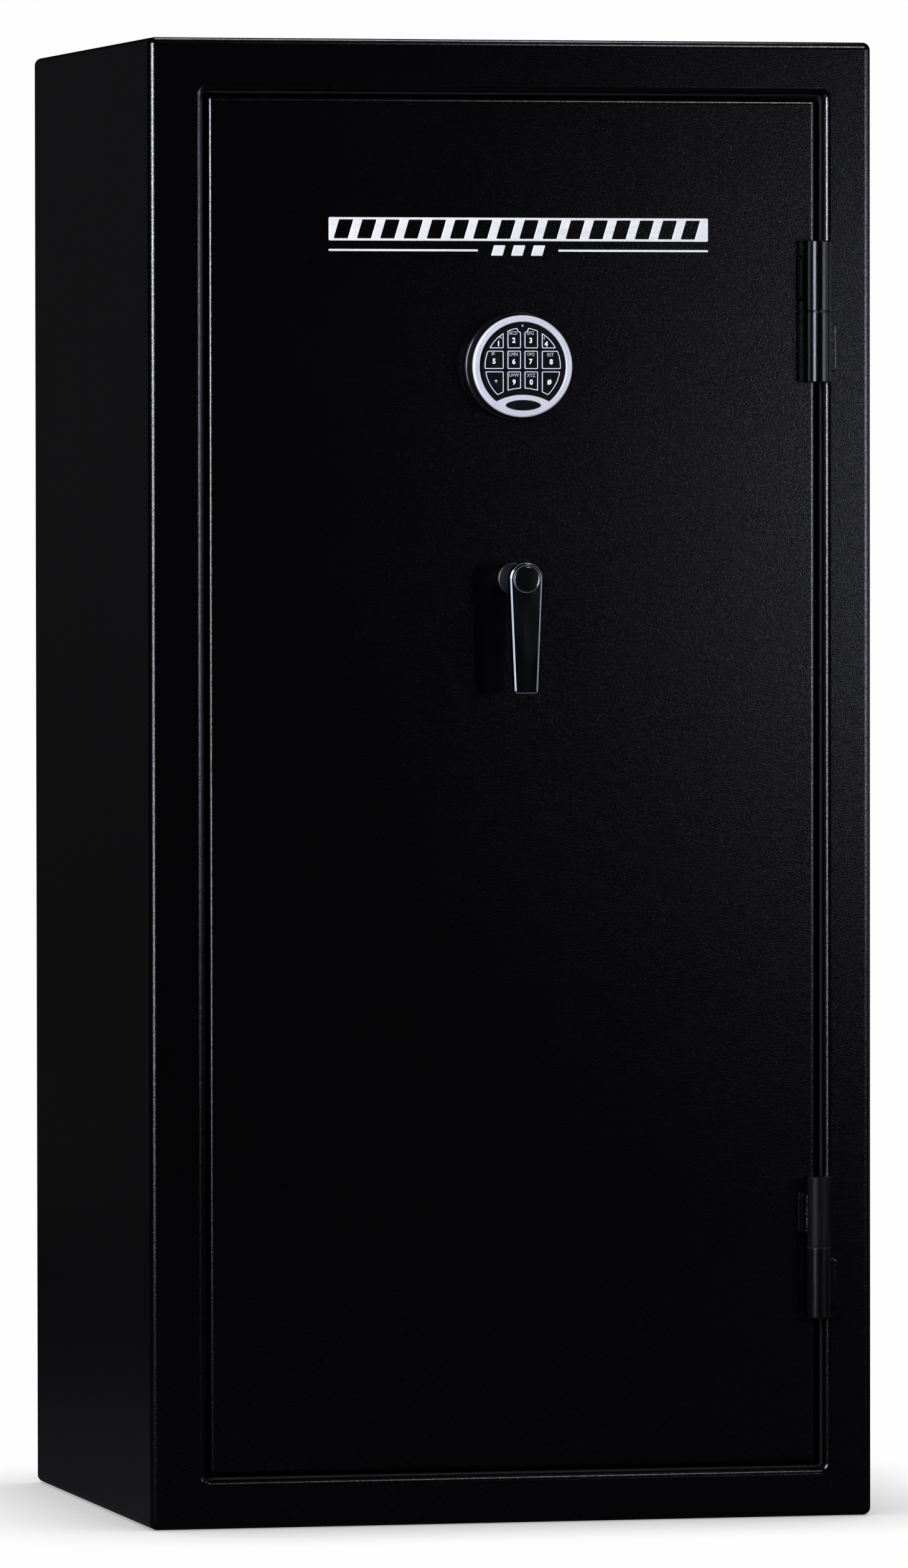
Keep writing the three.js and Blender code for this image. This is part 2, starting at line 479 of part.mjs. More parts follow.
// Left key, the right key that mirrors it, and the left key's outline.
const KEY_PAIRS = [
  ["1", "4", [[-35.67, TOP_ROW], [OUTER, TOP_ROW],
    ...sample(rim, OUTER, -35.67, 5).slice(0, -1)]],
  ["2", "3", [[INNER1, TOP_ROW], [INNER0, TOP_ROW],
    ...sample(ledNotch, INNER0, -notchU, 4).slice(0, -1), ...sample(rim, -notchU, INNER1, 4)]],
  ["5", "8", [[OUTER, MIDDLE_BOTTOM], [OUTER, MIDDLE_TOP],
    ...leftRim(MIDDLE_TOP, MIDDLE_BOTTOM, MIDDLE_ROW_RADIUS, 4)]],
  ["6", "7", [[INNER1, MIDDLE_BOTTOM], [INNER0, MIDDLE_BOTTOM],
    [INNER0, MIDDLE_TOP], [INNER1, MIDDLE_TOP]]],
  ["star", "hash", [[OUTER, LOW_ROW], ...leftRim(LOW_ROW, archV, KEYS_RADIUS, 6).slice(0, -1),
    ...sample(arch, -archU, OUTER, 3)]],
  ["9", "0", [[INNER0, LOW_ROW], [INNER1, LOW_ROW], ...sample(arch, INNER1, INNER0, 4)]],
];
const keys = {};
for (const [left, right, points] of KEY_PAIRS) {
  if (THREE.ShapeUtils.area(vectors(points)) < 0) points.reverse();
  keys[left] = points;
  keys[right] = points.map(([u, v]) => [-u, v]).reverse();
}
const keypadFace = outline(faceOutline(0));
for (const points of Object.values(keys)) {
  keypadFace.holes.push(hole(soften(grown(points, 0.35), 1.5)));
}
put("keypad_face", padSlab(keypadFace, PAD_Y - 0.2, 3.6), MATERIAL.keypad);
for (const [key, points] of Object.entries(keys)) {
  put(`key_${key}`, padSlab(outline(soften(points, 1.3)), PAD_Y - 1.3, 3.1), MATERIAL.key);
}
put("status_led", rodY(1.2, PAD_Y - 4.6, PAD_Y - 3.9, KEYPAD_X, KEYPAD_Z + LED_V + 1.2, 12),
  MATERIAL.led);

// ---------------------------------------------------------------- handle
const STEM = 49;                             // top of the stem, from the door face
const LEVER = { radius: 16.9, halfTip: 12, length: 117.2 };
put("handle_rosette", turned(
  [[7, 0.3], [16.5, 0.3], [16.5, 2], [15.4, 3], [7, 3], [7, 0.3]],
  HANDLE_X, HANDLE_Z, 28), MATERIAL.nickel);
const tilt = Math.asin((LEVER.radius - LEVER.halfTip) / LEVER.length);
const blade = soften([
  [-LEVER.halfTip, -LEVER.length], [LEVER.halfTip, -LEVER.length],
  ...arc(0, 0, LEVER.radius, -tilt, Math.PI + tilt, 16),
], 3, 3);
const BLADE_BEVEL = {
  bevelEnabled: true, bevelThickness: 1.2, bevelSize: 1.2, bevelOffset: -1.2, bevelSegments: 2,
};
put("handle_lever", join(
  turned([[0, 3.3], [15, 3.3], [14.6, STEM], [0, STEM]], HANDLE_X, HANDLE_Z, 32),
  slab(outline(blade), DOOR_Y - STEM + 1.8, 9.6, HANDLE_X, HANDLE_Z, BLADE_BEVEL)),
MATERIAL.nickel);
put("handle_cap", turned([
  [0, STEM + 9.3], [14.2, STEM + 9.3], [14.2, STEM + 10], [13.5, STEM + 10.6], [0, STEM + 10.6],
], HANDLE_X, HANDLE_Z, 32), MATERIAL.nickel);
// The spindle runs through the door to the cam and ends in a retaining collar.
put("handle_spindle", lathe([[0, 0], [6, 0], [6, 57.2], [9.5, 57.2], [9.5, 60], [0, 60]], 24)
  .translate(HANDLE_X, DOOR_Y - 3, HANDLE_Z), MATERIAL.zinc);

// ---------------------------------------------------------------- cam
const CAM = 6, THROW = 30, LOCK_THROW = 10, LOCK_GAP = 1.5;
const SLOT_START = 24, SLOT_WIDTH = 10.7;    // a slot's first radius, and its width
// A slot that moves out by the bolt throw over a quarter turn.
const scrollSlot = (startAngle) => {
  const steps = 12, half = SLOT_WIDTH / 2, rise = THROW / (Math.PI / 2);
  // Columns: x, z and the path's unit tangent, along which the slot keeps its width.
  const path = Array.from({ length: steps + 1 }, (_, i) => {
    const radius = SLOT_START + (THROW * i) / steps;
    const angle = startAngle - ((i / steps) * Math.PI) / 2;
    const cos = Math.cos(angle), sin = Math.sin(angle);
    const dx = rise * cos + radius * sin, dz = rise * sin - radius * cos;
    const length = Math.hypot(dx, dz);
    return [radius * cos, radius * sin, dx / length, dz / length];
  });
  const edge = (side) => path.map(([x, z, dx, dz]) => [x - side * dz * half, z + side * dx * half]);
  const roundEnd = ([x, z, dx, dz], side) => [1, 2, 3, 4, 5].map((i) => {
    const across = side * half * Math.cos((i / 6) * Math.PI);
    const along = side * half * Math.sin((i / 6) * Math.PI);
    return [x - dz * across + dx * along, z + dx * across + dz * along];
  });
  return hole([
    ...edge(1), ...roundEnd(path[steps], 1), ...edge(-1).reverse(), ...roundEnd(path[0], -1),
  ]);
};
const camDisc = outline(circle(CAM_RADIUS, 48));
[Math.PI, Math.PI / 2, -Math.PI / 2].forEach((angle) => camDisc.holes.push(scrollSlot(angle)));
camDisc.holes.push(hole(circle(6.4, 16)));
// Notches in the rim at the top and on the right, from notchIn to notchOut off the centre.
const notchIn = CAM_RADIUS - LOCK_THROW - LOCK_GAP, notchOut = CAM_RADIUS + 5, notchHalf = 8.5;
put("drive_cam", cut(slab(camDisc, CAM_Y, CAM, HANDLE_X, HANDLE_Z),
  box(HANDLE_X - notchHalf, HANDLE_X + notchHalf, CAM_Y - 10, CAM_Y + 3,
    HANDLE_Z + notchIn, HANDLE_Z + notchOut),
  box(HANDLE_X + notchIn, HANDLE_X + notchOut, CAM_Y - 10, CAM_Y + 3,
    HANDLE_Z - notchHalf, HANDLE_Z + notchHalf)), MATERIAL.zinc);

// ---------------------------------------------------------------- moving bolts
// Each bar has a pin that rides in one slot of the cam.
const BAR = 6, BAR_FRONT = BOLT_Y - BAR / 2, BAR_REAR = BOLT_Y + BAR / 2;
const camPin = (x, z) => rodY(5, CAM_Y - CAM - 1.5, BAR_FRONT + 3, x, z, 20);
const latchBar = column([
  [-262, BOLT_Y - 15], [-256, BOLT_Y - 15], [-256, BAR_FRONT], [-222, BAR_FRONT],
  [-222, BAR_REAR], [-256, BAR_REAR], [-256, BOLT_Y + 15], [-262, BOLT_Y + 15],
], BOLT_BAR.bottom, BOLT_BAR.top);
put("latch_bolt_bar", cut(
  join(latchBar,
    box(-230, HANDLE_X - SLOT_START + 8, BAR_FRONT, BAR_REAR, HANDLE_Z - 11, HANDLE_Z + 11),
    camPin(HANDLE_X - SLOT_START, HANDLE_Z)),
  ...BOLT_Z.map((z) => rodX(5.6, -270, -250, BOLT_Y, z, 16)),
  ...BOLT_Z.map((z) => box(-255.9, -247, BOLT_Y - 10, BOLT_Y + 10, z - 11, z + 11))),
MATERIAL.zinc);

const TIP_CHAMFER = 2.3, TIP_RADIUS = BOLT_RADIUS - TIP_CHAMFER;
// Head, neck through the bar, then the bolt itself.
const LATCH_BOLT = [
  [0, 0], [9, 0], [9, 5.4], [5, 5.4], [5, 12.4], [BOLT_RADIUS, 12.4],
  [BOLT_RADIUS, 60.5 - TIP_CHAMFER], [TIP_RADIUS, 60.5], [0, 60.5],
];
BOLT_Z.forEach((z, i) =>
  put(`latch_bolt_${i + 1}`, turnedBolt(LATCH_BOLT, -250, z, -1), MATERIAL.chrome));

const boltRod = (name, z0, z1, profile, pinZ) => put(name, join(
  box(HANDLE_X - 10, HANDLE_X + 10, BAR_FRONT, BAR_REAR, z0, z1),
  turnedZ(profile, HANDLE_X, BOLT_Y, 18),
  camPin(HANDLE_X, pinZ)), MATERIAL.chrome);
boltRod("top_bolt_rod", HANDLE_Z + SLOT_START - 8, 1402, [
  [0, 1398], [BOLT_RADIUS, 1398], [BOLT_RADIUS, 1457.5 - TIP_CHAMFER], [TIP_RADIUS, 1457.5],
  [0, 1457.5],
], HANDLE_Z + SLOT_START);
boltRod("bottom_bolt_rod", 119, HANDLE_Z - SLOT_START + 8, [
  [0, 63.5], [TIP_RADIUS, 63.5], [BOLT_RADIUS, 63.5 + TIP_CHAMFER], [BOLT_RADIUS, 123], [0, 123],
], HANDLE_Z - SLOT_START);

// ---------------------------------------------------------------- lock
// The case holds the bolt that drops into the cam's top notch.
const CASE_Z = HANDLE_Z + CAM_RADIUS + 13, CASE_HEIGHT = 85, CASE_HALF = 30.5;
put("lock_case", cut(
  box(HANDLE_X - CASE_HALF, HANDLE_X + CASE_HALF, PLATE_Y + PLATE + 0.3, CAM_Y - 0.2,
    CASE_Z, CASE_Z + CASE_HEIGHT),
  box(HANDLE_X - 8.4, HANDLE_X + 8.4, CAM_Y - 10.4, CAM_Y - 1.6, CASE_Z - 5, CASE_Z + 46)),
MATERIAL.zinc);
put("lock_bolt", box(HANDLE_X - 8, HANDLE_X + 8, CAM_Y - 10, CAM_Y - 2,
  HANDLE_Z + CAM_RADIUS + LOCK_GAP, CASE_Z + 42), MATERIAL.brass);

export default safe;
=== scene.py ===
"""A long-gun safe: folded steel cabinet, hinged door, round keypad and lever handle.

X runs across, +Y to the rear and +Z up. The door closes the front (-Y) and hangs on its +X edge.
Lengths are in millimetres, and make_mesh turns them into metres.
"""
import math
import random

import bmesh
import bpy
from mathutils import Matrix, Vector, noise
from mathutils.geometry import tessellate_polygon


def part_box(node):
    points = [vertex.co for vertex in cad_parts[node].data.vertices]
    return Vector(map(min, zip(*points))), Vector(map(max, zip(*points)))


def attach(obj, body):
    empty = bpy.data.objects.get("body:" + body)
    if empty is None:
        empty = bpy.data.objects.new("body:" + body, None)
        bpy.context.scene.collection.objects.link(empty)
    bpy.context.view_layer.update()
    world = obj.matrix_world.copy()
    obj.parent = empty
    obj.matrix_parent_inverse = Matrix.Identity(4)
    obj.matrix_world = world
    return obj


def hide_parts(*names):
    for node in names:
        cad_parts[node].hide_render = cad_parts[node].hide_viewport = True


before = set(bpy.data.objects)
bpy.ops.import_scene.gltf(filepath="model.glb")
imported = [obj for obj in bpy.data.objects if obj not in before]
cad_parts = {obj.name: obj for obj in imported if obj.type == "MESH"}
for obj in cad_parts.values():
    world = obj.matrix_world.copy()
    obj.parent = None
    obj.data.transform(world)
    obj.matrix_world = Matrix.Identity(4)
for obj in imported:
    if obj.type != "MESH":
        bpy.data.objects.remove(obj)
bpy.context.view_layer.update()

scene = bpy.context.scene
MM = 0.001
PI = math.pi


# ---------------------------------------------------------------- places, read from the frame
def extent(node):
    """Lowest and highest corner of a frame piece."""
    low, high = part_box(node)
    return [v * 1000 for v in low], [v * 1000 for v in high]


def middle(node, axis):
    low, high = extent(node)
    return (low[axis] + high[axis]) / 2


def rectangle(low, high, radius, margin=0):
    """A rounded rectangle in X-Z, margin wider than the box on every side."""
    return dict(x0=low[0] - margin, x1=high[0] + margin,
                z0=low[2] - margin, z1=high[2] + margin, r=radius)


body_low, body_high = extent("body_shell")
LEFT, FRONT, BOTTOM = body_low
RIGHT, REAR, TOP = body_high
SKIN = 3.0  # sheet thickness
BEND = 8.0  # outer radius of the cabinet's folds
LIP = 7.0  # outer radius of the fold into the door opening
seal_low, seal_high = extent("door_seal")
SEAL_GAP = 0.2
OPENING = rectangle(seal_low, seal_high, 5.0, SEAL_GAP)
OUTER = rectangle(body_low, body_high, BEND)
JAMB_END = FRONT + 48

face_low, face_high = extent("door_face")
DOOR = rectangle(face_low, face_high, 3.0)
DOOR_Y, DOOR_DEPTH = face_low[1], face_high[1] - face_low[1]
chassis_low, chassis_high = extent("door_chassis")
CHASSIS = rectangle(chassis_low, chassis_high, 2.0)

HANDLE_X, HANDLE_Z = middle("handle_rosette", 0), middle("handle_rosette", 2)
PAD_X, PAD_Z = middle("keypad_bezel", 0), middle("keypad_bezel", 2)
# how far the keypad's base and bezel stand out from the door
BASE_OUT = DOOR_Y - extent("keypad_base")[0][1]
BEZEL_OUT = DOOR_Y - extent("keypad_bezel")[0][1]

AXIS_X, AXIS_Y = middle("hinge_pin_upper", 0), middle("hinge_pin_upper", 1)
BARREL_R = AXIS_Y - extent("frame_knuckle_upper")[0][1]
BOLT_Z = [middle(f"latch_bolt_{i}", 2) for i in (1, 2, 3, 4)]
BOLT_Y = middle("latch_bolt_1", 1)
bolt_low, bolt_high = extent("latch_bolt_1")
BOLT_R = (bolt_high[2] - bolt_low[2]) / 2


# ---------------------------------------------------------------- outlines
def arc(cx, cy, r, start, end, steps):
    angles = [start + (end - start) * i / steps for i in range(steps + 1)]
    return [(cx + r * math.cos(a), cy + r * math.sin(a)) for a in angles]


def counter_clockwise(pts):
    doubled = sum(p[0] * q[1] - q[0] * p[1] for p, q in zip(pts, pts[1:] + pts[:1]))
    return pts if doubled > 0 else list(reversed(pts))


def box_outline(x0, x1, z0, z1):
    return [(x0, z0), (x1, z0), (x1, z1), (x0, z1)]


def slanted_bar(left, width, lean, half):
    """A bar of height 2 * half whose top is shifted by lean."""
    return [(left, -half), (left + width, -half), (left + width + lean, half), (left + lean, half)]


def soften(pts, radius, steps=4):
    """Rounds the sharp corners of a closed outline and leaves smooth arcs alone."""
    out = []
    for i, (x, y) in enumerate(pts):
        corner = Vector((x, y))
        a, b = Vector(pts[i - 1]) - corner, Vector(pts[(i + 1) % len(pts)]) - corner
        length_a, length_b = a.length, b.length
        if length_a < 1e-9 or length_b < 1e-9:
            out.append((x, y))
            continue
        a.normalize()
        b.normalize()
        inside = math.acos(max(-1, min(1, a.dot(b))))
        if PI - inside < 0.45 or inside < 1e-3:
            out.append((x, y))
            continue
        reach = min(radius / math.tan(inside / 2), length_a * 0.48, length_b * 0.48)
        r = reach * math.tan(inside / 2)
        centre = corner + (a + b).normalized() * (r / math.sin(inside / 2))
        first, last = corner + a * reach - centre, corner + b * reach - centre
        start = math.atan2(first.y, first.x)
        turn = math.atan2(last.y, last.x) - start
        while turn > PI:
            turn -= 2 * PI
        while turn < -PI:
            turn += 2 * PI
        out += arc(centre.x, centre.y, r, start, start + turn, steps)
    return out


def grown(pts, d):
    """Moves a closed counter-clockwise outline out by d."""
    out = []
    for i, p in enumerate(pts):
        a, b = pts[i - 1], pts[(i + 1) % len(pts)]
        before = Vector((p[1] - a[1], a[0] - p[0]))
        after = Vector((b[1] - p[1], p[0] - b[0]))
        if before.length < 1e-9 or after.length < 1e-9:
            out.append(p)
            continue
        before.normalize()
        after.normalize()
        normal = before + after
        k = d / max(0.35, (1 + before.dot(after)) / 2) / 2
        out.append((p[0] + normal.x * k, p[1] + normal.y * k))
    return out


def ring(rect, grow, y, steps=10):
    """A rectangle() grown outwards and placed at depth y, as 3-D points."""
    r = max(rect["r"] + grow, 0.4)
    x0, x1 = rect["x0"] - grow + r, rect["x1"] + grow - r
    z0, z1 = rect["z0"] - grow + r, rect["z1"] + grow - r
    out = []
    for cx, cz, start in ((x1, z0, -90), (x1, z1, 0), (x0, z1, 90), (x0, z0, 180)):
        for i in range(steps + 1):
            a = math.radians(start + 90 * i / steps)
            out.append((cx + r * math.cos(a), y, cz + r * math.sin(a)))
    return out


def bend(rect, grow, y, radius, start, end, steps=8):
    """Rings round a fold centred at (grow, y). Degrees run from outward (0) to +Y (90).

    The ring at the start angle is left out.
    """
    out = []
    for i in range(1, steps + 1):
        a = math.radians(start + (end - start) * i / steps)
        out.append(ring(rect, grow + radius * math.cos(a), y + radius * math.sin(a)))
    return out


# ---------------------------------------------------------------- meshes
def new_object(name, mesh):
    ob = bpy.data.objects.new(name, mesh)
    scene.collection.objects.link(ob)
    return ob


def make_mesh(name, verts, faces, weld=2e-6):
    mesh = bpy.data.meshes.new(name)
    mesh.from_pydata([(x * MM, y * MM, z * MM) for x, y, z in verts], [], faces)
    bm = bmesh.new()
    bm.from_mesh(mesh)
    bmesh.ops.remove_doubles(bm, verts=bm.verts, dist=weld)
    bmesh.ops.dissolve_degenerate(bm, dist=1e-7, edges=bm.edges)
    bmesh.ops.recalc_face_normals(bm, faces=bm.faces)
    bm.to_mesh(mesh)
    bm.free()
    return new_object(name, mesh)


def dress(ob, mat, body, angle, replaces=None):
    mesh = ob.data
    mesh.materials.clear()
    mesh.materials.append(mat)
    mesh.shade_smooth()
    mesh.set_sharp_from_angle(angle=math.radians(angle))
    normals = ob.modifiers.new("normals", "WEIGHTED_NORMAL")
    normals.keep_sharp = True
    normals.weight = 80
    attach(ob, body)
    if replaces:
        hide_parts(replaces)


def loft(name, rings, closed):
    """Skins a row of rings. A closed row returns to its first ring, an open one is capped."""
    m = len(rings[0])
    verts = [p for r in rings for p in r]
    faces = []
    for i in range(len(rings) if closed else len(rings) - 1):
        a, b = i * m, (i + 1) % len(rings) * m
        for j in range(m):
            k = (j + 1) % m
            faces.append((a + j, a + k, b + k, b + j))
    if not closed:
        faces.append(tuple(range(m - 1, -1, -1)))
        faces.append(tuple(range((len(rings) - 1) * m, len(rings) * m)))
    return make_mesh(name, verts, faces)


def revolve(name, profile, segments, place):
    """Turns (radius, height) points. place(radius * cos, radius * sin, height) gives the point."""
    loop = profile[0] == profile[-1]
    verts, rows = [], []
    for r, h in profile[:-1] if loop else profile:
        if r < 1e-6:
            rows.append([len(verts)] * segments)
            verts.append(place(0, 0, h))
        else:
            rows.append(list(range(len(verts), len(verts) + segments)))
            angles = [2 * PI * i / segments for i in range(segments)]
            verts += [place(r * math.cos(a), r * math.sin(a), h) for a in angles]
    faces = []
    for i in range(len(rows) if loop else len(rows) - 1):
        a, b = rows[i], rows[(i + 1) % len(rows)]
        for j in range(segments):
            k = (j + 1) % segments
            face = []
            for v in (a[j], a[k], b[k], b[j]):
                if v not in face:
                    face.append(v)
            if len(face) > 2:
                faces.append(face)
    return make_mesh(name, verts, faces)


def turned(name, profile, x, z, segments=96, base=DOOR_Y):
    """A lathe about Y: (radius, distance out from the base plane towards -Y)."""
    return revolve(name, profile, segments, lambda c, s, h: (x + c, base - h, z + s))


def turned_z(name, profile, x, y, segments=64):
    return revolve(name, profile, segments, lambda c, s, h: (x + c, y + s, h))


def turned_x(name, profile, y, z, segments, sign, x):
    return revolve(name, profile, segments, lambda c, s, h: (x + sign * h, y + c, z + s))


def cylinder(radius, start, end):
    """The lathe profile of a plain cylinder."""
    return [(0, start), (radius, start), (radius, end), (0, end)]


def extrude(name, loops, back, edge, x=0.0, z=0.0):
    """An X-Z outline with holes, drawn from y = back towards -Y. edge lists (depth, inset)."""
    loops = ([counter_clockwise(loops[0])]
             + [list(reversed(counter_clockwise(hole))) for hole in loops[1:]])
    verts, faces, caps = [], [], ([], [])
    for pts in loops:
        m, start = len(pts), len(verts)
        for depth, inset in edge:
            for u, v in grown(pts, -inset):
                verts.append((u + x, back - depth, v + z))
        for i in range(len(edge) - 1):
            a, c = start + i * m, start + (i + 1) * m
            for j in range(m):
                q = (j + 1) % m
                faces.append((a + j, a + q, c + q, c + j))
        caps[0].append(list(range(start, start + m)))
        caps[1].append(list(range(start + (len(edge) - 1) * m, start + len(edge) * m)))
    for side, rows in enumerate(caps):
        flat = [i for r in rows for i in r]
        for t in tessellate_polygon(
                [[Vector((verts[i][0], verts[i][2], 0)) for i in r] for r in rows]):
            face = [flat[i] for i in t]
            faces.append(tuple(face if side else reversed(face)))
    return make_mesh(name, verts, faces)


def prism(name, loops, back, thick, bevel, steps, x=0.0, z=0.0, round_back=False):
    """An extrusion with a rounded front edge, and a rounded back edge if asked."""
    angles = [i / steps * PI / 2 for i in range(steps + 1)]
    edge = [(0, 0)]
    if round_back:
        edge = [(bevel - bevel * math.cos(a), bevel - bevel * math.sin(a)) for a in angles]
    edge += [(thick - bevel + bevel * math.sin(a), bevel - bevel * math.cos(a)) for a in angles]
    return extrude(name, loops, back, edge, x, z)


def block(name, x0, x1, y0, y1, z0, z1):
    verts = [(x, y, z) for x in (x0, x1) for y in (y0, y1) for z in (z0, z1)]
    return make_mesh(name, verts, [(0, 1, 3, 2), (4, 6, 7, 5), (0, 4, 5, 1), (2, 3, 7, 6),
                                   (0, 2, 6, 4), (1, 5, 7, 3)])


def combine(ob, others, operation="DIFFERENCE"):
    """Cuts or joins, and keeps the result as the object's own mesh."""
    for other in others:
        boolean = ob.modifiers.new("bool", "BOOLEAN")
        boolean.operation, boolean.object, boolean.solver = operation, other, "EXACT"
    bpy.context.view_layer.update()
    evaluated = ob.evaluated_get(bpy.context.evaluated_depsgraph_get())
    mesh = bpy.data.meshes.new_from_object(evaluated)
    ob.modifiers.clear()
    ob.data = mesh
    for other in others:
        bpy.data.objects.remove(other)


def merged(name, parts):
    """Several meshes kept as one piece, side by side."""
    bm = bmesh.new()
    for part in parts:
        bm.from_mesh(part.data)
        bpy.data.objects.remove(part)
    mesh = bpy.data.meshes.new(name)
    bm.to_mesh(mesh)
    bm.free()
    return new_object(name, mesh)


def bead(start, end, wide, high, pitch, seed, normal):
    """A straight weld bead: overlapping ripples with tapered, slightly lumpy ends."""
    sides = 14
    start, up_ = Vector(start), Vector(normal).normalized()
    along = Vector(end) - start
    total = along.length
    along.normalize()
    across = along.cross(up_).normalized()
    steps = max(10, int(total / pitch * 7))
    wobble = random.Random(seed).random() * 50
    verts, faces = [], []
    for i in range(steps + 1):
        s = total * i / steps
        phase = (s % pitch) / pitch
        ripple = 0.80
        if phase < 0.8:
            ripple += 0.20 * math.sqrt(max(0.0, math.sin(PI * min(1, phase * 1.25))))
        near, far = s / (wide * 0.6) + 0.02, (total - s) / (wide * 0.6) + 0.02
        taper = math.sqrt(max(0.02, min(1.0, near, far)))
        jitter = noise.noise(Vector((s * 0.25 + wobble, seed, 0)))
        half = wide / 2 * ripple * taper * (1 + 0.22 * jitter)
        rise = high * ripple * taper * (1 + 0.3 * noise.noise(Vector((s * 0.35, wobble, 3))))
        centre = start + along * s + across * (0.25 * jitter * wide / 3)
        for q in range(sides):
            a = 2 * PI * q / sides
            lag = -pitch * 0.35 * (1 - abs(math.sin(a))) if a <= PI else 0
            verts.append(tuple(centre + across * (half * math.cos(a))
                               + up_ * (rise * math.sin(a)) + along * lag * min(1, taper)))
    for i in range(steps):
        for q in range(sides):
            k = (q + 1) % sides
            faces.append((i * sides + q, i * sides + k, (i + 1) * sides + k, (i + 1) * sides + q))
    faces.append(tuple(range(sides)))
    faces.append(tuple(range(steps * sides, (steps + 1) * sides)))
    return make_mesh("bead", verts, faces)


def lump(centre, radius, seed, squash, subdivisions=3, rough=0.25):
    """A blob of weld metal."""
    bm = bmesh.new()
    bmesh.ops.create_icosphere(bm, subdivisions=subdivisions, radius=1)
    verts = []
    for v in bm.verts:
        d = v.co.normalized()
        k = radius * (1 + rough * noise.noise(d * 1.7 + Vector((seed, 0, 0)))
                      + rough * 0.4 * noise.noise(d * 5 + Vector((0, seed, 0))))
        verts.append([centre[i] + d[i] * k * squash[i] for i in range(3)])
    faces = [tuple(v.index for v in f.verts) for f in bm.faces]
    bm.free()
    return make_mesh("lump", verts, faces)


def text(name, word, size, y, x, z, depth, width, bold):
    """A raised legend of the given height, centred at x, z on the plane y."""
    curve = bpy.data.curves.new(name, "FONT")
    curve.body, curve.size, curve.align_x, curve.align_y = word, 1.0, "CENTER", "CENTER"
    curve.extrude, curve.resolution_u, curve.offset = 0.02, 6, bold
    ob = new_object(name, curve)
    bpy.context.view_layer.update()
    evaluated = ob.evaluated_get(bpy.context.evaluated_depsgraph_get())
    mesh = bpy.data.meshes.new_from_object(evaluated)
    bpy.data.objects.remove(ob)
    pts = [v.co.copy() for v in mesh.vertices]
    low = [min(p[i] for p in pts) for i in range(3)]
    high = [max(p[i] for p in pts) for i in range(3)]
    k = size / (high[1] - low[1])
    verts = [((p.x - (low[0] + high[0]) / 2) * k * width + x,
              y - depth * (p.z - low[2]) / (high[2] - low[2]),
              (p.y - (low[1] + high[1]) / 2) * k + z) for p in pts]
    return make_mesh(name, verts, [tuple(f.vertices) for f in mesh.polygons], weld=5e-6)


# ---------------------------------------------------------------- shader helpers
def set_inputs(node, values):
    """Sets each input, or links it where the value is another node's socket."""
    for key, value in values.items():
        if isinstance(value, bpy.types.NodeSocket):
            node.id_data.links.new(value, node.inputs[key])
        else:
            node.inputs[key].default_value = value


def add_node(tree, kind, inputs=None, **settings):
    node = tree.nodes.new(kind)
    for key, value in settings.items():
        setattr(node, key, value)
    set_inputs(node, inputs or {})
    return node


def start_material(name):
    """A new material, its Principled node and its object-space coordinates."""
    mat = bpy.data.materials.new(name)
    mat.use_nodes = True
    coords = add_node(mat.node_tree, "ShaderNodeTexCoord").outputs["Object"]
    return mat, mat.node_tree.nodes["Principled BSDF"], coords


def noise_value(coords, scale, detail, stretch=None, roughness=0.55):
    tree = coords.id_data
    if stretch:
        mapping = add_node(tree, "ShaderNodeMapping", {"Vector": coords, "Scale": stretch})
        coords = mapping.outputs["Vector"]
    return add_node(tree, "ShaderNodeTexNoise", {
        "Vector": coords, "Scale": scale, "Detail": detail, "Roughness": roughness}).outputs["Fac"]


def remap(value, from_low, from_high, to_low=0.0, to_high=1.0):
    return add_node(value.id_data, "ShaderNodeMapRange", {
        "Value": value, "From Min": from_low, "From Max": from_high,
        "To Min": to_low, "To Max": to_high}).outputs["Result"]


def mix_color(factor, a, b):
    return add_node(factor.id_data, "ShaderNodeMix", {"A": a, "B": b, "Factor": factor},
                    data_type="RGBA").outputs["Result"]


def bump(height, distance, strength, normal=None):
    inputs = {"Height": height, "Distance": distance, "Strength": strength}
    if normal:
        inputs["Normal"] = normal
    return add_node(height.id_data, "ShaderNodeBump", inputs).outputs["Normal"]


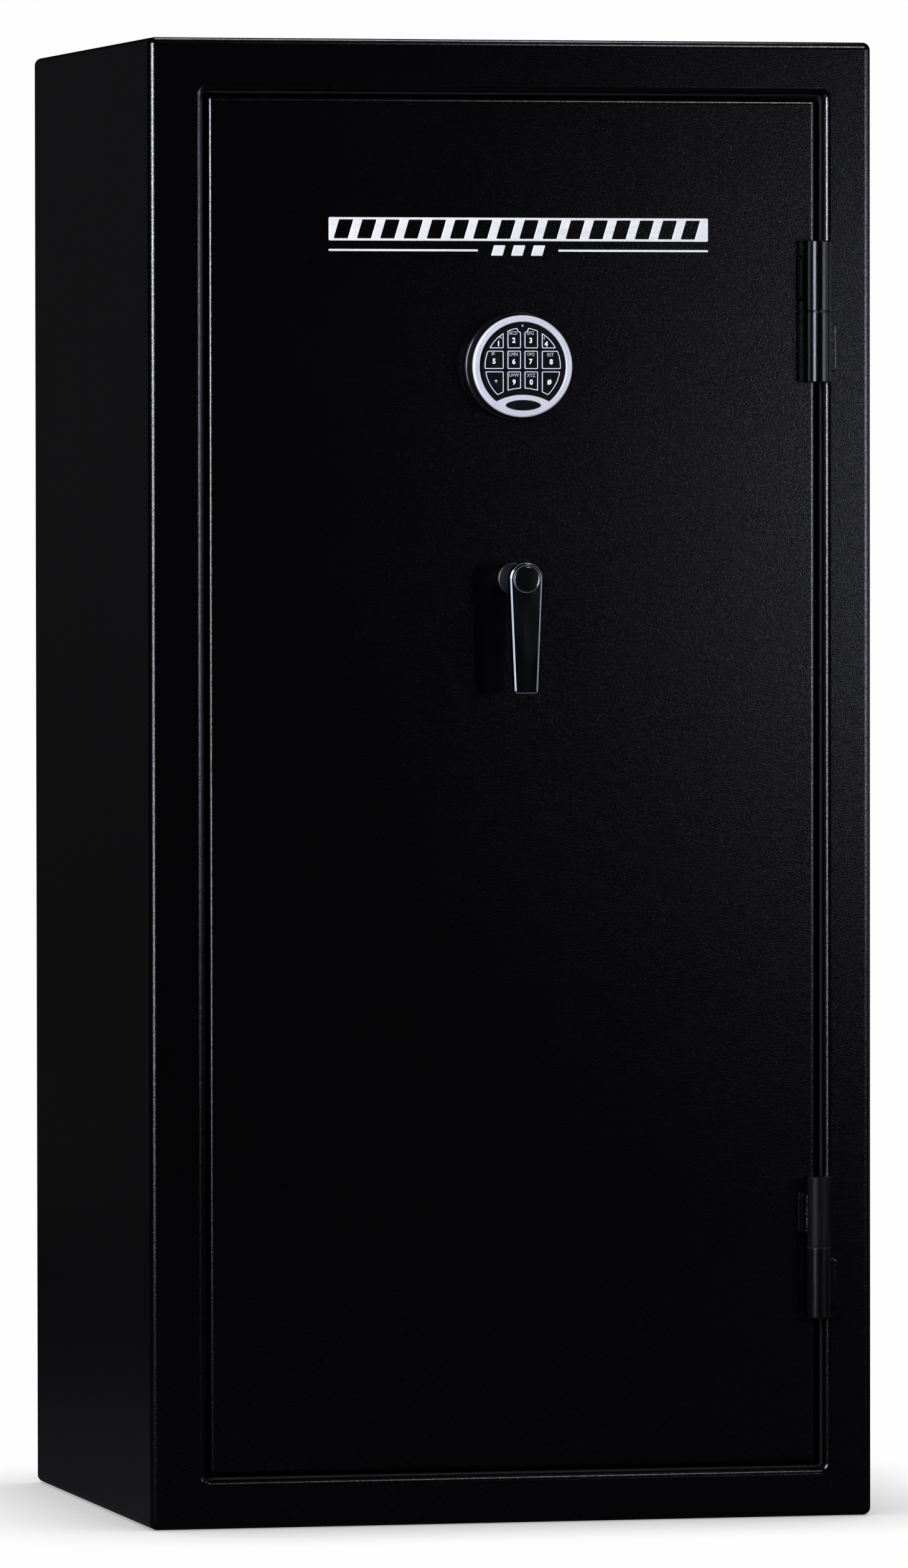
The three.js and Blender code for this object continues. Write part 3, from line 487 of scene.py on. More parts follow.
def material(name, color, rough=0.5, metal=0.0, spec=0.5, tint=(1, 1, 1), bumps=(),
             color_noise=None, rough_noise=None, coat=0.0, aniso=0.0, spec_noise=None):
    """A Principled finish with object-space noise. The noise arguments are tuples:

    color_noise: scale, second colour, noise where it starts, noise where it is full[, stretch]
    rough_noise: scale, lowest roughness, highest roughness[, stretch]
    spec_noise: scale, lowest specular, highest specular
    bumps: for each layer, scale, height in metres, strength[, stretch]
    """
    mat, shader, coords = start_material(name)
    set_inputs(shader, {
        "Base Color": (*color, 1), "Roughness": rough, "Metallic": metal,
        "Specular IOR Level": spec, "Specular Tint": (*tint, 1), "Coat Weight": coat,
        "Coat Roughness": 0.12, "Sheen Roughness": 0.6, "Anisotropic": aniso})
    if color_noise:
        scale, other, low, high, *stretch = color_noise
        factor = remap(noise_value(coords, scale, 5, *stretch), low, high)
        set_inputs(shader, {"Base Color": mix_color(factor, (*color, 1), (*other, 1))})
    if rough_noise:
        scale, low, high, *stretch = rough_noise
        value = noise_value(coords, scale, 4, *stretch)
        set_inputs(shader, {"Roughness": remap(value, 0.3, 0.7, low, high)})
    if spec_noise:
        scale, low, high = spec_noise
        value = noise_value(coords, scale, 1.0, roughness=0.5)
        set_inputs(shader, {"Specular IOR Level": remap(value, 0.36, 0.66, low, high)})
    normal = None
    for scale, height, strength, *stretch in bumps:
        normal = bump(noise_value(coords, scale, 2, *stretch), height, strength, normal)
    if normal:
        set_inputs(shader, {"Normal": normal})
    return mat


def carpet(name, dark, light, patch):
    """A short needle-punched pile: matted tufts, loose fibres and a soft sheen."""
    mat, shader, coords = start_material(name)
    fine = noise_value(coords, 620, 3, roughness=0.5)
    broad = noise_value(coords, 14, 4, roughness=0.5)
    tufts = add_node(mat.node_tree, "ShaderNodeTexVoronoi", {"Vector": coords, "Scale": 330})
    fibres = mix_color(remap(fine, 0.36, 0.64), (*dark, 1), (*light, 1))
    tuft_bump = bump(tufts.outputs["Distance"], 0.0014, 0.8)
    set_inputs(shader, {
        "Roughness": 0.95, "Specular IOR Level": 0.15, "Sheen Weight": 0.35, "Sheen Roughness": 0.5,
        "Base Color": mix_color(remap(broad, 0.45, 0.75, to_high=0.5), fibres, (*patch, 1)),
        "Normal": bump(fine, 0.0009, 0.7, tuft_bump)})
    return mat


# ---------------------------------------------------------------- finishes
LAVENDER = (0.93, 0.94, 1.0)
powder = material(
    "powder_coat", (0.0003, 0.0003, 0.00045), rough=0.165, tint=(0.90, 0.90, 1.0),
    color_noise=(6, (0.0005, 0.00045, 0.0007), 0.35, 0.7), rough_noise=(5, 0.16, 0.175),
    spec_noise=(760, 0.27, 0.73), bumps=((830, 0.000145, 0.85), (1500, 0.00004, 0.6)))
inside_coat = material(
    "inside_coat", (0.012, 0.012, 0.013), color_noise=(14, (0.02, 0.02, 0.021), 0.4, 0.7),
    rough_noise=(40, 0.44, 0.58), bumps=((380, 0.00014, 0.4),))
hinge_gloss = material(
    "hinge_gloss", (0.0004, 0.0004, 0.0006), rough=0.19, spec=0.27, tint=LAVENDER,
    color_noise=(60, (0.0008, 0.0008, 0.0010), 0.4, 0.75), rough_noise=(90, 0.17, 0.22),
    bumps=((700, 0.00008, 0.5),))
hinge_textured = material(
    "hinge_textured", (0.0005, 0.0005, 0.0007), rough=0.24, spec=0.4, tint=LAVENDER,
    color_noise=(60, (0.0009, 0.0009, 0.0012), 0.4, 0.75), rough_noise=(120, 0.22, 0.26),
    bumps=((520, 0.00008, 0.5), (1100, 0.00006, 0.5)))
hinge_satin = material(
    "hinge_satin", (0.0010, 0.0010, 0.0014), rough=0.44, spec=0.17, tint=LAVENDER,
    color_noise=(50, (0.0016, 0.0016, 0.0020), 0.4, 0.75), rough_noise=(110, 0.40, 0.48),
    bumps=((500, 0.00006, 0.4), (1500, 0.00003, 0.4)))
leaf_paint = material(
    "leaf_pad", (0.0006, 0.0006, 0.0008), rough=0.45, spec=0.03, tint=LAVENDER,
    color_noise=(60, (0.0006, 0.0006, 0.0008), 0.4, 0.75), rough_noise=(120, 0.40, 0.50),
    bumps=((420, 0.00018, 0.6),))
weld_paint = material(
    "painted_weld", (0.0006, 0.0006, 0.0009), rough=0.14, spec=0.4, tint=LAVENDER,
    color_noise=(120, (0.0012, 0.0012, 0.0016), 0.4, 0.7), rough_noise=(200, 0.11, 0.20),
    bumps=((700, 0.00016, 0.6),))
silver = material(
    "satin_silver", (0.60, 0.605, 0.69), rough=0.34, metal=0.25, spec=0.55,
    color_noise=(30, (0.55, 0.555, 0.64), 0.35, 0.7), rough_noise=(70, 0.30, 0.42),
    bumps=((1500, 0.00003, 0.25),))
emblem_silver = material(
    "satin_emblem", (0.78, 0.78, 0.80), rough=0.36, metal=0.3, aniso=0.3,
    color_noise=(40, (0.68, 0.68, 0.71), 0.35, 0.7, (0.2, 1, 6)),
    rough_noise=(60, 0.30, 0.44, (0.2, 1, 8)), bumps=((700, 0.00003, 0.4, (0.1, 1, 6)),))
keypad_black = material(
    "keypad_black", (0.0030, 0.0030, 0.0045), rough=0.19, spec=0.3, tint=LAVENDER,
    color_noise=(40, (0.0050, 0.0050, 0.0065), 0.35, 0.7), rough_noise=(80, 0.17, 0.21),
    bumps=((900, 0.00004, 0.4), (2600, 0.00002, 0.3)))
key_black = material(
    "key_black", (0.0030, 0.0030, 0.0045), rough=0.19, spec=0.28,
    color_noise=(60, (0.0050, 0.0050, 0.0065), 0.35, 0.7), rough_noise=(110, 0.17, 0.22),
    bumps=((1400, 0.00003, 0.4),))
legend_white = material(
    "legend_white", (0.85, 0.85, 0.92), color_noise=(900, (0.74, 0.74, 0.82), 0.4, 0.7),
    bumps=((2500, 0.00002, 0.3),))
legend_grey = material(
    "legend_grey", (0.42, 0.42, 0.48), color_noise=(900, (0.34, 0.34, 0.40), 0.4, 0.7),
    bumps=((2500, 0.00002, 0.3),))
key_outline = material(
    "key_outline", (0.60, 0.60, 0.72), rough=0.4,
    color_noise=(300, (0.52, 0.52, 0.64), 0.35, 0.7), bumps=((2000, 0.00002, 0.3),))
oval_black = material(
    "oval_inlay", (0.004, 0.004, 0.005), rough=0.14, coat=0.4,
    color_noise=(50, (0.008, 0.008, 0.010), 0.4, 0.7), rough_noise=(120, 0.1, 0.2))
lens_grey = material(
    "status_lens", (0.30, 0.32, 0.36), rough=0.12, spec=0.6, coat=0.6,
    color_noise=(800, (0.22, 0.24, 0.28), 0.4, 0.6))
nickel = material(
    "black_nickel", (0.115, 0.125, 0.145), rough=0.13, metal=1.0, aniso=0.25,
    color_noise=(25, (0.095, 0.103, 0.125), 0.35, 0.7),
    rough_noise=(60, 0.09, 0.18, (1, 1, 0.2)), bumps=((900, 0.000012, 0.3, (1, 1, 0.08)),))
# painted highlight: a light grey, mostly diffuse finish for the thin lines that stand in for the
# reflections on the lever's and cap's bevels
edge_highlight_paint = material(
    "painted_edge_highlight", (0.165, 0.178, 0.205), rough=0.34, metal=0.3,
    color_noise=(60, (0.135, 0.147, 0.175), 0.35, 0.7), rough_noise=(120, 0.28, 0.42))
nickel_satin = material(
    "satin_nickel", (0.014, 0.016, 0.021), rough=0.33, metal=0.4,
    color_noise=(30, (0.010, 0.012, 0.017), 0.35, 0.7), rough_noise=(80, 0.30, 0.40))
zinc = material(
    "zinc_steel", (0.44, 0.44, 0.42), rough=0.36, metal=1.0,
    color_noise=(45, (0.36, 0.35, 0.30), 0.4, 0.68), rough_noise=(90, 0.28, 0.5),
    bumps=((500, 0.00004, 0.35),))
bolt_steel = material(
    "bolt_steel", (0.58, 0.58, 0.57), rough=0.16, metal=1.0,
    color_noise=(35, (0.50, 0.50, 0.48), 0.4, 0.7),
    rough_noise=(160, 0.11, 0.26, (0.25, 1, 1)), bumps=((1200, 0.00001, 0.35, (0.05, 1, 1)),))
brass = material(
    "brass", (0.52, 0.40, 0.18), rough=0.28, metal=1.0,
    color_noise=(120, (0.40, 0.29, 0.12), 0.35, 0.7), rough_noise=(200, 0.2, 0.4))
plate_steel = material(
    "hard_plate_steel", (0.10, 0.10, 0.105), rough=0.46, metal=0.9,
    color_noise=(22, (0.17, 0.145, 0.12), 0.45, 0.75), rough_noise=(60, 0.38, 0.6),
    bumps=((300, 0.00008, 0.4),))
rubber = material(
    "seal_rubber", (0.0045, 0.0045, 0.0048), rough=0.72, spec=0.12,
    color_noise=(80, (0.008, 0.008, 0.0085), 0.35, 0.7), rough_noise=(150, 0.66, 0.86),
    bumps=((800, 0.0001, 0.5),))
gypsum = material(
    "gypsum_board", (0.56, 0.53, 0.48), rough=0.92, spec=0.2,
    color_noise=(30, (0.46, 0.43, 0.38), 0.35, 0.7),
    bumps=((260, 0.0003, 0.4), (1200, 0.0001, 0.4)))
pile = carpet("grey_carpet", dark=(0.085, 0.082, 0.078), light=(0.19, 0.185, 0.178),
              patch=(0.14, 0.136, 0.13))
pile_board = carpet("carpeted_board", dark=(0.095, 0.092, 0.088), light=(0.21, 0.205, 0.198),
                    patch=(0.15, 0.146, 0.14))

# ---------------------------------------------------------------- cabinet shell
# one closed section: over the outside, into the opening, and back along the inside of the sheet
BACK_FLANGE, JAMB_FLANGE = 30, 24
bend_inner, lip_inner = BEND - SKIN, LIP - SKIN
shell = loft("shell", [
    ring(OUTER, -BACK_FLANGE, REAR), ring(OUTER, -BEND, REAR),
    *bend(OUTER, -BEND, REAR - BEND, BEND, 90, 0),
    ring(OUTER, 0, FRONT + BEND),
    *bend(OUTER, -BEND, FRONT + BEND, BEND, 0, -90),
    ring(OPENING, LIP, FRONT),
    *bend(OPENING, LIP, FRONT + LIP, LIP, -90, -180),
    ring(OPENING, 0, JAMB_END), ring(OPENING, JAMB_FLANGE, JAMB_END),
    ring(OPENING, JAMB_FLANGE, JAMB_END - SKIN), ring(OPENING, SKIN, JAMB_END - SKIN),
    ring(OPENING, SKIN, FRONT + LIP),
    *bend(OPENING, LIP, FRONT + LIP, lip_inner, 180, 270),
    ring(OUTER, -BEND, FRONT + SKIN),
    *bend(OUTER, -BEND, FRONT + BEND, bend_inner, -90, 0),
    ring(OUTER, -SKIN, REAR - BEND),
    *bend(OUTER, -BEND, REAR - BEND, bend_inner, 0, 90),
    ring(OUTER, -BACK_FLANGE, REAR - SKIN),
], True)
ANCHORS = [(-300, -190), (300, -190), (-300, 210), (300, 210)]  # x, y of the floor holes
combine(shell, [turned_z("hole", cylinder(8, -5, 8), x, y, 40) for x, y in ANCHORS])
dress(shell, powder, "cabinet", 30, "body_shell")


# ---------------------------------------------------------------- frame pieces kept as they are
def finish_cad(node, mat, bevel, segments=2):
    """Gives a frame piece a material and rounded edges."""
    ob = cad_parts[node]
    ob.data.materials.clear()
    ob.data.materials.append(mat)
    ob.modifiers.new("weld", "WELD").merge_threshold = 2e-5
    edges = ob.modifiers.new("edges", "BEVEL")
    edges.width, edges.segments = bevel * MM, segments
    edges.limit_method, edges.angle_limit = "ANGLE", math.radians(40)
    normals = ob.modifiers.new("normals", "WEIGHTED_NORMAL")
    normals.keep_sharp = False
    normals.weight = 70


finish_cad("back_panel", powder, bevel=0.6)
for side in ("bottom", "top", "left", "right", "back"):
    finish_cad(f"fireboard_{side}", gypsum, bevel=1.0)
finish_cad("carpet_lining", pile, bevel=1.2)
for node in ("divider_panel", "top_shelf", "side_shelf_upper", "side_shelf_lower"):
    finish_cad(node, pile_board, bevel=3.0, segments=3)
finish_cad("door_fireboard", gypsum, bevel=0.8)
finish_cad("hard_plate", plate_steel, bevel=0.8)
finish_cad("lock_case", zinc, bevel=1.0)
finish_cad("lock_bolt", brass, bevel=0.8)
finish_cad("handle_spindle", zinc, bevel=0.4)
finish_cad("drive_cam", zinc, bevel=0.5)
finish_cad("latch_bolt_bar", zinc, bevel=0.8)

# ---------------------------------------------------------------- cabinet welds
# corners of the door opening
x0, x1, z0, z1 = (OPENING[side] for side in ("x0", "x1", "z0", "z1"))
corners = [
    lump((x0 - 1.5, FRONT + 2.6, z0 - 1.8), 4.4, 3, (1.1, 0.75, 0.9)),
    bead((x0 - 2.5, FRONT + 1.5, z0 - 3), (x0 + 1.2, FRONT + 8, z0 - 0.6),
         wide=5, high=1.6, pitch=1.8, seed=4, normal=(-0.4, -1, 0.2)),
]
# x, z, radius, seed
for x, z, radius, seed in ((x1 + 0.6, z0 - 0.6, 2.3, 5), (x0 - 0.6, z1 + 0.6, 2.0, 7),
                           (x1 + 0.6, z1 + 0.6, 2.0, 9)):
    corners.append(lump((x, FRONT + 4.2, z), radius, seed, (1, 0.8, 1)))
for side_x, x in ((-1, x0), (1, x1)):
    for side_z, z in ((-1, z0), (1, z1)):
        corners.append(bead(
            (x + side_x * 1.0, FRONT + 9, z + side_z * 0.2),
            (x + side_x * 0.4, FRONT + 40, z + side_z * 0.2),
            wide=3.6, high=1.0, pitch=1.6, seed=11 + side_x + 2 * side_z,
            normal=(-side_x, 0, -side_z)))
dress(merged("frame_corner_welds", corners), weld_paint, "cabinet", 60)

# stitch welds round the back panel, each 38 long and a little uneven
STITCH_Y, STITCH_LONG = REAR - 3.2, 38
STITCH = dict(wide=6, high=2.2, pitch=2.4, normal=(0.0, 1, 0))
rnd = random.Random(8)
x0, x1 = LEFT + BACK_FLANGE, RIGHT - BACK_FLANGE
z0, z1 = BOTTOM + BACK_FLANGE, TOP - BACK_FLANGE
stitches = []
for i in range(9):
    z = z0 + 40 + i * (z1 - z0 - 120) / 8
    for x in (x0 + 0.8, x1 - 0.8):
        end = (x + rnd.uniform(-.4, .4), STITCH_Y, z + STITCH_LONG + rnd.uniform(-3, 3))
        stitches.append(bead((x, STITCH_Y, z), end, seed=i + int(x), **STITCH))
for i in range(5):
    x = x0 + 40 + i * (x1 - x0 - 118) / 4
    for z in (z0 + 0.8, z1 - 0.8):
        end = (x + STITCH_LONG + rnd.uniform(-3, 3), STITCH_Y, z + rnd.uniform(-.4, .4))
        stitches.append(bead((x, STITCH_Y, z), end, seed=i + int(z), **STITCH))
dress(merged("back_stitch_welds", stitches), weld_paint, "cabinet", 60)

# ---------------------------------------------------------------- ribbed seal on the jamb
RIBS, SEAL_BASE, RIB_HIGH = 4, 1.1, 1.1
y0, y1 = seal_low[1], seal_high[1]
seal = [ring(OPENING, -SEAL_GAP, y0)]
for i in range(RIBS):
    a, b = y0 + (y1 - y0) * i / RIBS, y0 + (y1 - y0) * (i + 1) / RIBS
    for t in (0.0, 0.12, 0.3, 0.5, 0.7, 0.88):
        rise = SEAL_BASE + RIB_HIGH * math.sin(PI * t) ** 0.6
        seal.append(ring(OPENING, -rise, a + (b - a) * t))
seal += [ring(OPENING, -SEAL_BASE, y1), ring(OPENING, -SEAL_GAP, y1)]
dress(loft("seal_ribbed", seal, True), rubber, "cabinet", 50, "door_seal")

# ---------------------------------------------------------------- barrel and butt rests
REST_PITCH, REST_FIRST = 74.0, 41  # spacing, and the first place in from the -X end
SCALLOP_R, SCALLOP_Y = 20, 195
low, high = extent("barrel_rest")
outline = [(low[0], high[1]), (low[0], low[1])]
for i in range(6):
    x = low[0] + REST_FIRST + i * REST_PITCH
    outline += [(x - SCALLOP_R, low[1])]
    outline += arc(x, SCALLOP_Y, SCALLOP_R, PI, 0, 24)
    outline += [(x + SCALLOP_R, low[1])]
outline += [(high[0], low[1]), (high[0], high[1])]
barrel_rest = prism("barrel_rest_padded", [soften(counter_clockwise(outline), 5)],
                    0, high[2] - low[2], 2.5, 4, round_back=True)
# the outline is an X-Y plan, so lay the piece flat
for v in barrel_rest.data.vertices:
    x, y, z = v.co
    v.co = (x, z, low[2] * MM - y)
bm = bmesh.new()
bm.from_mesh(barrel_rest.data)
bmesh.ops.recalc_face_normals(bm, faces=bm.faces)
bm.to_mesh(barrel_rest.data)
bm.free()
dress(barrel_rest, pile_board, "cabinet", 50, "barrel_rest")

low, high = extent("butt_rest")
outline = [(low[0], low[2]), (high[0], low[2])]
for i in range(141):
    x = high[0] + (low[0] - high[0]) * i / 140
    wave = math.cos(2 * PI * (x - (low[0] + REST_FIRST)) / REST_PITCH)
    outline.append((x, low[2] + 22 - 8 * wave))
dress(prism("butt_rest_padded", [soften(counter_clockwise(outline), 3, 3)],
            high[1], high[1] - low[1], 2.5, 4, round_back=True),
      pile_board, "cabinet", 50, "butt_rest")

# ---------------------------------------------------------------- hinges
LEAF_Y_DOOR, LEAF_Y_FRAME = DOOR_Y - 0.3, FRONT - 0.3
BORE_R, BORE_DEPTH = 6.35, 66.0
# door_leaf is the leaf's thickness, bead_out how far its bead stands out, bead_size its scale
HINGES = {
    "upper": dict(frame=hinge_gloss, door=hinge_gloss, washer=hinge_gloss,
                  door_leaf=8.2, bead_out=7.0, bead_size=0.5, seed=21),
    "lower": dict(frame=hinge_textured, door=hinge_satin, washer=nickel_satin,
                  door_leaf=9.6, bead_out=8.0, bead_size=1.3, seed=47),
}


def knuckle(name, bottom, top, rounded_top):
    """A barrel with a blind bore in one end and the other end rounded."""
    r, c = BARREL_R, 1.3
    angles = [PI / 2 * i / 5 for i in range(6)]
    if rounded_top:
        profile = [(0, bottom + BORE_DEPTH), (BORE_R, bottom + BORE_DEPTH), (BORE_R, bottom),
                   (r - 0.5, bottom), (r - 0.15, bottom + 0.15), (r, bottom + 0.5)]
        profile += [(r - c + c * math.cos(a), top - c + c * math.sin(a)) for a in angles]
        profile += [(0, top)]
    else:
        profile = [(0, bottom)]
        profile += [(r - c + c * math.sin(a), bottom + c - c * math.cos(a)) for a in angles]
        profile += [(r, top - 0.5), (r - 0.15, top - 0.15), (r - 0.5, top),
                    (BORE_R, top), (BORE_R, top - BORE_DEPTH), (0, top - BORE_DEPTH)]
    return turned_z(name, profile, AXIS_X, AXIS_Y, 72)


def leaf(name, x0, x1, back, thick, z0, z1, radius, bevel):
    """A pad that ties a barrel to the frame or the door."""
    return prism(name, [soften(box_outline(x0, x1, z0, z1), radius, 8)], back, thick,
                 bevel, 4, round_back=True)


def build_hinge(at, look):
    z = middle(f"hinge_washer_{at}", 2)
    frame_low, frame_high = extent(f"frame_knuckle_{at}")
    door_low, door_high = extent(f"door_knuckle_{at}")
    dress(knuckle(f"frame_barrel_{at}", frame_low[2], z - 0.8, False),
          look["frame"], "cabinet", 25, f"frame_knuckle_{at}")
    dress(knuckle(f"door_barrel_{at}", z + 0.8, door_high[2], True),
          look["door"], "door", 25, f"door_knuckle_{at}")
    dress(leaf(f"frame_leaf_{at}", AXIS_X + 6.5, frame_high[0], LEAF_Y_FRAME, 5.8,
               z - 62, z - 11.5, radius=4.5, bevel=1.6), powder, "cabinet", 50)
    dress(leaf(f"door_leaf_{at}", door_low[0], AXIS_X - 4.5, LEAF_Y_DOOR, look["door_leaf"],
               z + 10.5, z + 58.5, radius=7.0, bevel=3.2), leaf_paint, "door", 50)

    # beads along both long edges of each leaf, running very slightly off vertical
    def upright(x, drift, y, z0, z1, wide, high, pitch, seed, normal):
        return bead((x, y, z0), (x + drift, y, z1), wide, high, pitch, seed, normal)

    seed, size = look["seed"], look["bead_size"]
    frame_run, door_run = (z - 60, z - 14), (z + 13, z + 56)
    dress(merged(f"frame_hinge_welds_{at}", [
        upright(AXIS_X + BARREL_R - 1.2, 0.2, LEAF_Y_FRAME - 5.6, *frame_run,
                4.6, 1.9, 2.2, seed, (0.75, -0.66, 0)),
        upright(frame_high[0] - 0.6, 0.2, LEAF_Y_FRAME - 0.7, *frame_run,
                4.0, 1.6, 2.2, seed + 1, (0.55, -0.8, 0)),
    ]), weld_paint, "cabinet", 60)
    door_welds = [
        upright(AXIS_X - BARREL_R + 1.6, -0.2, LEAF_Y_DOOR - look["bead_out"], *door_run,
                4.6 * size, 1.5 * size, 2.3, seed + 2, (-0.8, -0.6, 0)),
        upright(door_low[0] + 1.6, -0.2, LEAF_Y_DOOR - 1.0, *door_run,
                3.6 * size, 1.5 * size, 2.3, seed + 3, (-0.7, -0.7, 0)),
    ]
    if at == "lower":
        # a rough build-up of weld on the -X side of the leaf
        rnd = random.Random(5)
        for i in range(22):
            t = rnd.uniform(0.8, 6.0)
            height = z + 14 + 40 * (i + rnd.uniform(0, 0.8)) / 22
            door_welds.append(lump((door_low[0] + t, LEAF_Y_DOOR - 2.2 - t * 1.15, height),
                                   rnd.uniform(0.9, 1.6), 30 + i, (1, 0.9, 1.2), 2, 0.4))
    dress(merged(f"door_hinge_welds_{at}", door_welds), weld_paint, "door", 60)

    low, high = extent(f"hinge_pin_{at}")
    r, z0, z1 = (high[0] - low[0]) / 2, low[2], high[2]
    dress(turned_z(f"pin_{at}", [(0, z0), (r - 1, z0), (r, z0 + 1),
                                 (r, z1 - 1), (r - 1, z1), (0, z1)], AXIS_X, AXIS_Y, 40),
          zinc, "cabinet", 30, f"hinge_pin_{at}")
    low, high = extent(f"hinge_washer_{at}")
    r, z0, z1 = (high[0] - low[0]) / 2, low[2], high[2]
    if at == "upper":
        r = BARREL_R - 0.7
    dress(turned_z(f"washer_{at}", [(6.4, z0), (r - .25, z0), (r, z0 + .3), (r, z1 - .3),
                                    (r - .25, z1), (6.4, z1), (6.4, z0)], AXIS_X, AXIS_Y),
          look["washer"], "cabinet", 30, f"hinge_washer_{at}")


for at, look in HINGES.items():
    build_hinge(at, look)

# ---------------------------------------------------------------- door skin
DOOR_BEND, DOOR_SKIN = 6.0, 4.0
door_back = DOOR_Y + DOOR_DEPTH
skin = loft("door_skin", [
    ring(DOOR, -DOOR_BEND, DOOR_Y),
    *bend(DOOR, -DOOR_BEND, DOOR_Y + DOOR_BEND, DOOR_BEND, -90, 0),
    ring(DOOR, 0, door_back), ring(DOOR, -DOOR_SKIN, door_back),
    ring(DOOR, -DOOR_SKIN, DOOR_Y + DOOR_SKIN),
], False)
combine(skin, [turned("hole", cylinder(8, -10, 5), HANDLE_X, HANDLE_Z, 48),
               turned("hole", cylinder(7, -10, 5), PAD_X, PAD_Z, 48)])
dress(skin, powder, "door", 30, "door_face")

# ---------------------------------------------------------------- door chassis
CHASSIS_SKIN, CHASSIS_BEND = 2.5, 4
chassis_front, chassis_back = DOOR_Y + DOOR_SKIN + 0.3, chassis_high[1]
fold_y = chassis_back - CHASSIS_BEND
chassis = loft("chassis_pressed", [
    ring(CHASSIS, 0, chassis_front), ring(CHASSIS, 0, fold_y),
    *bend(CHASSIS, -CHASSIS_BEND, fold_y, CHASSIS_BEND, 0, 90, 5),
    ring(CHASSIS, -28, chassis_back), ring(CHASSIS, -28, chassis_back - CHASSIS_SKIN),
    ring(CHASSIS, -CHASSIS_BEND, chassis_back - CHASSIS_SKIN),
    *bend(CHASSIS, -CHASSIS_BEND, fold_y, CHASSIS_BEND - CHASSIS_SKIN, 90, 0, 5),
    ring(CHASSIS, -CHASSIS_SKIN, chassis_front),
], True)
BOLT_HOLE_R = BOLT_R + .7
holes = []
for z in BOLT_Z:
    for x in (CHASSIS["x0"] - 8, CHASSIS["x1"] - 10):
        holes.append(turned_x("hole", cylinder(BOLT_HOLE_R, 0, 20), BOLT_Y, z, 48, 1, x))
for z0, z1 in ((CHASSIS["z1"] - 12, CHASSIS["z1"] + 8), (CHASSIS["z0"] - 12, CHASSIS["z0"] + 10)):
    holes.append(turned_z("hole", cylinder(BOLT_HOLE_R, z0, z1), HANDLE_X, BOLT_Y, 48))
combine(chassis, holes)
dress(chassis, inside_coat, "door", 30, "door_chassis")

# ---------------------------------------------------------------- carpeted door liner
low, high = extent("door_liner")
LINER, LINER_EDGE = rectangle(low, high, 6.0), 3
liner_y = high[1]
dress(loft("liner_panel", [
    ring(LINER, 0, low[1]), ring(LINER, 0, liner_y - LINER_EDGE),
    *bend(LINER, -LINER_EDGE, liner_y - LINER_EDGE, LINER_EDGE, 0, 90, 5),
    # a shallow groove runs inside the border
    ring(LINER, -16, liner_y), ring(LINER, -17, liner_y - 0.9),
    ring(LINER, -18.6, liner_y - 0.9), ring(LINER, -19.6, liner_y),
], False), pile, "door", 40, "door_liner")

# radius, height over the liner
BUTTON = [(0, -1.5), (7.2, -1.5), (8.2, -0.6), (8.2, 0.2), (7.2, 0.9), (4.4, 1.5), (0, 1.75)]
buttons = []
for column, x in enumerate((low[0] + 36, (low[0] + high[0]) / 2, high[0] - 36)):
    for i in range(5):
        if column == 1 and 0 < i < 4:
            continue
        z = low[2] + 40 + i * (high[2] - low[2] - 80) / 4
        buttons.append(revolve("button", BUTTON, 36, lambda c, s, h: (x + c, liner_y + h, z + s)))
dress(merged("liner_buttons", buttons), keypad_black, "door", 50)

# ---------------------------------------------------------------- fixed bolts, hinge side
bar_x = extent("fixed_bolt_bar")[0][0]
fixed_bolts = block("fixed_bolts", bar_x, bar_x + 8.1, BOLT_Y - 15, BOLT_Y + 15, 200, 1330)
FIXED_BOLT = [(0, 0), (BOLT_R, 0), (BOLT_R, 35.2), (BOLT_R - .5, 36.6), (BOLT_R - 2, 38), (0, 38)]
combine(fixed_bolts, [turned_x("bolt", FIXED_BOLT, BOLT_Y, z, 56, 1, 307) for z in BOLT_Z], "UNION")
dress(fixed_bolts, bolt_steel, "door", 30, "fixed_bolt_bar")

# ---------------------------------------------------------------- emblem
# a grille of slanted slots, with two thin rules and three slats under it
low, high = extent("emblem_grille")
emblem_x, emblem_z = middle("emblem_grille", 0), middle("emblem_grille", 2)
half_x, half_z = (high[0] - low[0]) / 2, (high[2] - low[2]) / 2
slots = [soften(slanted_bar(-195 + i * 24.4, 15, 5.8, 9.6), 0.8, 3) for i in range(16)]
plate = soften(box_outline(-half_x, half_x, -half_z, half_z), 1.2)
dress(prism("grille", [plate] + slots, high[1], high[1] - low[1], 0.28, 2, emblem_x, emblem_z),
      emblem_silver, "door", 50, "emblem_grille")


def trim(name, outline, radius, x):
    """A thin flat strip on the line of the rules."""
    return prism(name, [soften(outline, radius, 3)], high[1], 0.8, 0.25, 2, x, emblem_z - 21.6)


for name, x0, x1 in (("rule_left", emblem_x - 200, emblem_x - 43.4),
                     ("rule_right", emblem_x + 41.7, emblem_x + 200)):
    dress(trim(name, box_outline(x0, x1, -1.15, 1.15), 0.5, 0),
          emblem_silver, "door", 50)
slats = [trim("slat", slanted_bar(i * 21 - 7.6, 12, 3.2, 5.4), 0.7, emblem_x - 0.9)
         for i in (-1, 0, 1)]
dress(merged("rule_slats", slats), emblem_silver, "door", 50)

# ---------------------------------------------------------------- keypad housing
# radius, distance out from the door
BASE_PROFILE = [
    (0, 0.3), (55.2, 0.3), (56, 1.0), (56, 5.2), (55.75, 6.2), (55.2, 7.1), (54.4, 7.6),
    (53.9, 7.6), (53.75, 8.0), (52.5, BASE_OUT - 0.5), (52.1, BASE_OUT), (0, BASE_OUT)]
dress(turned("pad_base", BASE_PROFILE, PAD_X, PAD_Z, 128),
      keypad_black, "door", 25, "keypad_base")

